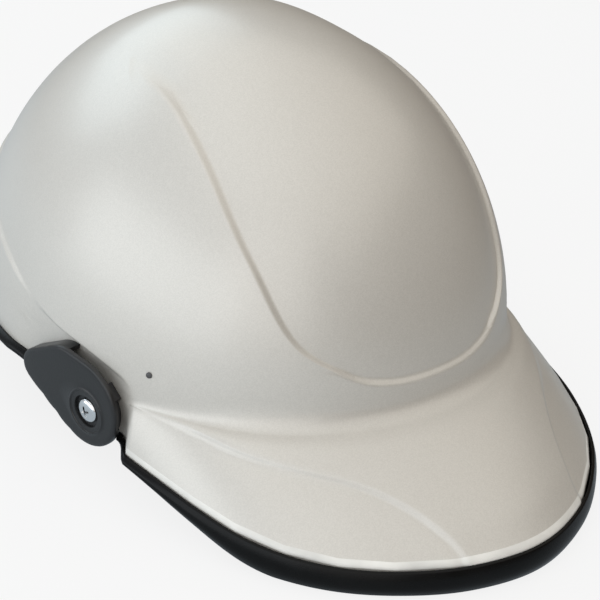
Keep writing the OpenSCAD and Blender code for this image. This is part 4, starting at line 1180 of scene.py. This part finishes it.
# Rigid pieces of the solids with rounded edges
def softened(node_name, name, body, slot, mat, width):
    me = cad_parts[node_name].data.copy()
    me.name = name
    ob = linked(name, me)
    with edited(me) as bm:
        bmesh.ops.remove_doubles(bm, verts=bm.verts, dist=2e-6)
        bmesh.ops.dissolve_limit(bm, angle_limit=math.radians(2), verts=bm.verts, edges=bm.edges)
    modify(ob, "BEVEL", width=width * MM, segments=2, limit_method="ANGLE", angle_limit=math.radians(25))
    return put(sharpen(smooth_shade(ob), 40), body, slot, mat, node_name)


CADS = [
    ("carrier_left", "carrier_disc_left", "carrier_left", "carrier_plastic", "carrier", 0.5),
    ("carrier_right", "carrier_disc_right", "carrier_right", "carrier_plastic", "carrier", 0.5),
    ("hanger_left", "strap_tab_left", "strap_left", "plain_steel", "steel", 0.3),
    ("hanger_right", "strap_tab_right", "strap_right", "plain_steel", "steel", 0.3),
    ("buckle_housing", "buckle_tray", "strap_left", "buckle_plastic", "buckle", 0.45),
    ("buckle_cover", "buckle_lid", "strap_left", "buckle_plastic", "buckle", 0.7),
    ("release_button", "press_button", "button", "button_plastic", "red", 0.5),
    ("latch_bar", "latch_plate", "latch", "plain_steel", "steel", 0.2),
    ("buckle_tongue", "tongue_plate", "strap_right", "plain_steel", "steel", 0.3),
    ("strap_slider", "adjuster", "slider", "buckle_plastic", "buckle", 0.5),
    ("strap_keeper", "keeper_loop", "keeper", "keeper_rubber", "keeper", 0.5),
    ("plate_nuts", "flange_nuts", "helmet", "plain_steel", "steel", 0.25),
    ("anchor_spacers", "spacers", "helmet", "carrier_plastic", "carrier", 0.3),
]
for row in CADS:
    softened(*row)


def ridges(name, s0, side, look, xs, z, length, r):
    """Low half-round ridges across a face of a run, each a capped rod; look is body, slot and material."""
    ys = np.concatenate([[-length / 2], np.linspace(-length / 2 + r, length / 2 - r, 4), [length / 2]])
    ends = list(zip(ys, r * np.array([0.3, 1, 1, 1, 1, 0.3])))
    rods = []
    for k, x in enumerate(xs):
        rings = [[(x + rr * c, y, z + rr * s) for c, s in circle(10)] for y, rr in ends]
        rods.append(loft(name + str(k), on_run(s0, rings, side)))
    put(rods[0], *look).name = name
    join(*rods)


ridges("button_grip", HOUSE_S, 1, ("button", "button_plastic", "red"), (20.5, 22.6, 24.0, 25.4, 27.5),
       6.3, 9.0, 0.28)
ridges("lid_grip", HOUSE_S, 1, ("strap_left", "buckle_plastic", "buckle"),
       (5.0, 6.8, 8.6, 10.4, 33.5, 35.3, 37.1), 5.5, 17.0, 0.42)
ridges("adjuster_grip", 38, -1, ("slider", "buckle_plastic", "buckle"), (-9.9, -8.9, 8.7, 9.7),
       2.6, 21.0, 0.3)


# Rivets
def lathe(name, prof, place, n=48):
    """Turned piece placed by a function of millimetre points."""
    return sharpen(loft(name, place(turned(prof, n))), 40)


def anchor_place(side):
    return lambda p: np.stack([side * (HANG_X + p[..., 2]), -ANCHOR_F + p[..., 0], ANCHOR_Z + p[..., 1]], -1)


def lining_place(side):
    """Axis of the small temple rivet, outward along +Z of its own axes."""
    tilt = Matrix.Rotation(math.radians(90 - 8.4), 3, "X")
    turn = np.array(Matrix.Rotation(math.radians(-55), 3, "Z") @ tilt)
    return lambda p: (p @ turn.T + dome(54.3, 54.5) * FLIP) * [-side, 1, 1]


RIVET_H = 4.3
WALL_X = (POCKET - (ANCHOR_F + RIVET_H) * sind(SLANT)) / cosd(SLANT) - 0.2
FAR, LOW = WALL_X - HANG_X, -HANG_T - 0.15
ANCHOR_PROF = [(0, LOW - 1.6), (1.4, LOW - 1.6), (2.8, LOW - 1.35), (3.8, LOW - 0.85), (4.25, LOW - 0.3),
               (4.3, LOW), (2.5, LOW), (2.5, FAR), (4.3, FAR), (4.3, FAR + 1.2), (3.9, FAR + 1.6),
               (1.6, FAR + 1.6), (1.4, FAR + 1.35), (0, FAR + 1.3)]
LINING_PROF = [(0, -5.2), (3.1, -5.2), (3.5, -4.9), (3.5, -4.2), (3.1, -3.9), (0.9, -3.9), (0.9, 0.1),
               (1.3, 0.15), (1.35, 0.35), (1.15, 0.65), (0.7, 0.82), (0, 0.85)]
SIDES = ((1, "left"), (-1, "right"))
for side, word in SIDES:
    rivet = lathe("anchor_rivet_" + word, ANCHOR_PROF, anchor_place(side))
    put(rivet, "helmet", "plain_steel", "steel", "anchor_rivets")
for side, word in SIDES:
    rivet = lathe("lining_rivet_" + word, LINING_PROF, lining_place(side), 32)
    put(rivet, "helmet", "plate_plastic", "rivet", "lining_rivets")

# Pads
temple_at = band_pad(82, 24, 86, 15)
cushion("brow_pad", band_pad(0, 46, 66, 13), 60, 12, (-0.5, 0.0, 0.5))
cushion("temple_pad_left", temple_at, 36, 14, (0.0,))
cushion("temple_pad_right", lambda u, v, deep: temple_at(u, v, deep) * FLIP, 36, 14, (0.0,))
cushion("nape_pad", nape_at, 50, 12, (-0.4, 0.4))
cushion("crown_pad", crown_at, 40, 40)
cushion("chin_pad", chin_at, 30, 12, body="strap_right", seat=0.1, fill=chin_fill, voxel=2.0, travel=2.2,
        tree=tree_of(long_web), pipe=0.7, gap=0.1)

# Leaf spring: the solids' shape with broken edges
spring = softened("latch_spring", "leaf_spring", "strap_left", "plain_steel", "steel", 0.08)
up_run = on_run(0, [0.0, 0.0, 1.0]) - on_run(0, [0.0, 0.0, 0.0])
tuple(float(c) * MM for c in on_run(HOUSE_S, [24.0, 0.0, -7.25]))
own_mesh(spring)

# Floor: white to the camera, dim and warm at the helmet's left in reflections
floor_mat, fnt, fsh = material("floor_white", {"Base Color": (0.62, 0.62, 0.62, 1), "Roughness": 0.9})
rays = node(fnt, "ShaderNodeLightPath").outputs
spot = node(fnt, "ShaderNodeSeparateXYZ", {0: coords(fnt)})
side = math_node(fnt, "SUBTRACT", 0.62, math_node(fnt, "MULTIPLY", spot.outputs[0], 0.9))
side = math_node(fnt, "MINIMUM", math_node(fnt, "MAXIMUM", side, 0.0), 0.9)
tint = ramp(fnt, math_node(fnt, "MAXIMUM", rays["Is Camera Ray"], side),
            (0.0, (0.06, 0.045, 0.03)), (0.9, (0.54, 0.63, 0.70)), (0.98, (1.0, 1.0, 1.0)))
glow = node(fnt, "ShaderNodeEmission", {"Color": tint, "Strength": 1.0})
seen = math_node(fnt, "MAXIMUM", rays["Is Camera Ray"], rays["Is Glossy Ray"])
GLOW_SHARE = 0.84
part = math_node(fnt, "MULTIPLY", seen, GLOW_SHARE)
blend = node(fnt, "ShaderNodeMixShader", {0: part, 1: fsh.outputs[0], 2: glow.outputs[0]})
fnt.links.new(blend.outputs[0], fnt.nodes["Material Output"].inputs[0])
bpy.ops.mesh.primitive_plane_add(size=6, location=(0, 0, -0.0006))
floor = bpy.context.object
floor.name = "floor"
floor.data.materials.append(floor_mat)


# Light
def area(name, loc, target, size, size_y, power, colour):
    d = bpy.data.lights.new(name, "AREA")
    d.shape = "RECTANGLE"
    d.size, d.size_y = size, size_y
    d.energy = power
    d.color = colour
    o = linked(name, d)
    o.location = loc
    o.rotation_euler = (Vector(target) - Vector(loc)).to_track_quat("-Z", "Y").to_euler()


area("key_left", (-1.9, 0.1, 0.42), (0, 0, 0.08), 2.8, 1.2, 16, (0.90, 0.96, 1.0))
area("rear_window", (-0.1, 1.9, 1.3), (0, 0, 0.1), 2.4, 1.0, 12, (0.78, 0.92, 1.0))
area("top_soft", (0.25, -0.25, 2.2), (0, 0, 0.1), 4.2, 4.2, 38, (1.0, 0.97, 0.90))
area("front_soft", (-1.35, -1.5, 1.0), (0, 0, 0.08), 1.6, 1.6, 7.5, (1.0, 0.98, 0.95))
world = bpy.data.worlds.new("soft_world")
bpy.context.scene.world = world
world.use_nodes = True
wn = world.node_tree
wn.nodes.clear()
way = node(wn, "ShaderNodeVectorMath", {0: node(wn, "ShaderNodeTexCoord").outputs["Generated"],
                                        1: (-0.75, 0.25, 0.6)}, operation="DOT_PRODUCT").outputs["Value"]
room = ramp(wn, math_node(wn, "ADD", math_node(wn, "MULTIPLY", way, 0.5), 0.5),
            (0.0, (0.06, 0.04, 0.028)), (0.45, (0.20, 0.165, 0.13)), (1.0, (0.54, 0.58, 0.63)))
lit = node(wn, "ShaderNodeBackground", {"Color": room, "Strength": 1.0})
white = node(wn, "ShaderNodeBackground", {"Color": (1, 1, 1, 1), "Strength": 1.0})
camera_ray = node(wn, "ShaderNodeLightPath").outputs["Is Camera Ray"]
sky = node(wn, "ShaderNodeMixShader", {0: camera_ray, 1: lit.outputs[0], 2: white.outputs[0]})
node(wn, "ShaderNodeOutputWorld", {0: sky.outputs[0]})

# Camera at the photograph's place: focal length and optical centre in pixels of its 600
PHOTO, FOCAL, CENTRE_X, CENTRE_Y = 600, 1174.98, 310.57, 280.10
cam_data = bpy.data.cameras.new("camera")
cam_data.sensor_width = 36
cam_data.lens = FOCAL / PHOTO * 36
cam_data.shift_x = (PHOTO / 2 - CENTRE_X) / PHOTO
cam_data.shift_y = (CENTRE_Y - PHOTO / 2) / PHOTO
cam_data.clip_start = 0.01
cam = linked("camera", cam_data)
CAM_PLACE = (-0.32470, -0.40741, 0.31217)
CAM_RIGHT, CAM_DOWN = (0.7651, -0.6381, 0.0866), (-0.2384, -0.4056, -0.8824)
right = Vector(CAM_RIGHT).normalized()
fwd = right.cross(Vector(CAM_DOWN).normalized()).normalized()
down = fwd.cross(right)
rot = Matrix((right, -down, -fwd)).transposed()
cam.matrix_world = Matrix.Translation(Vector(CAM_PLACE)) @ rot.to_4x4()
bpy.context.scene.camera = cam
bpy.context.scene.view_settings.view_transform = "Standard"
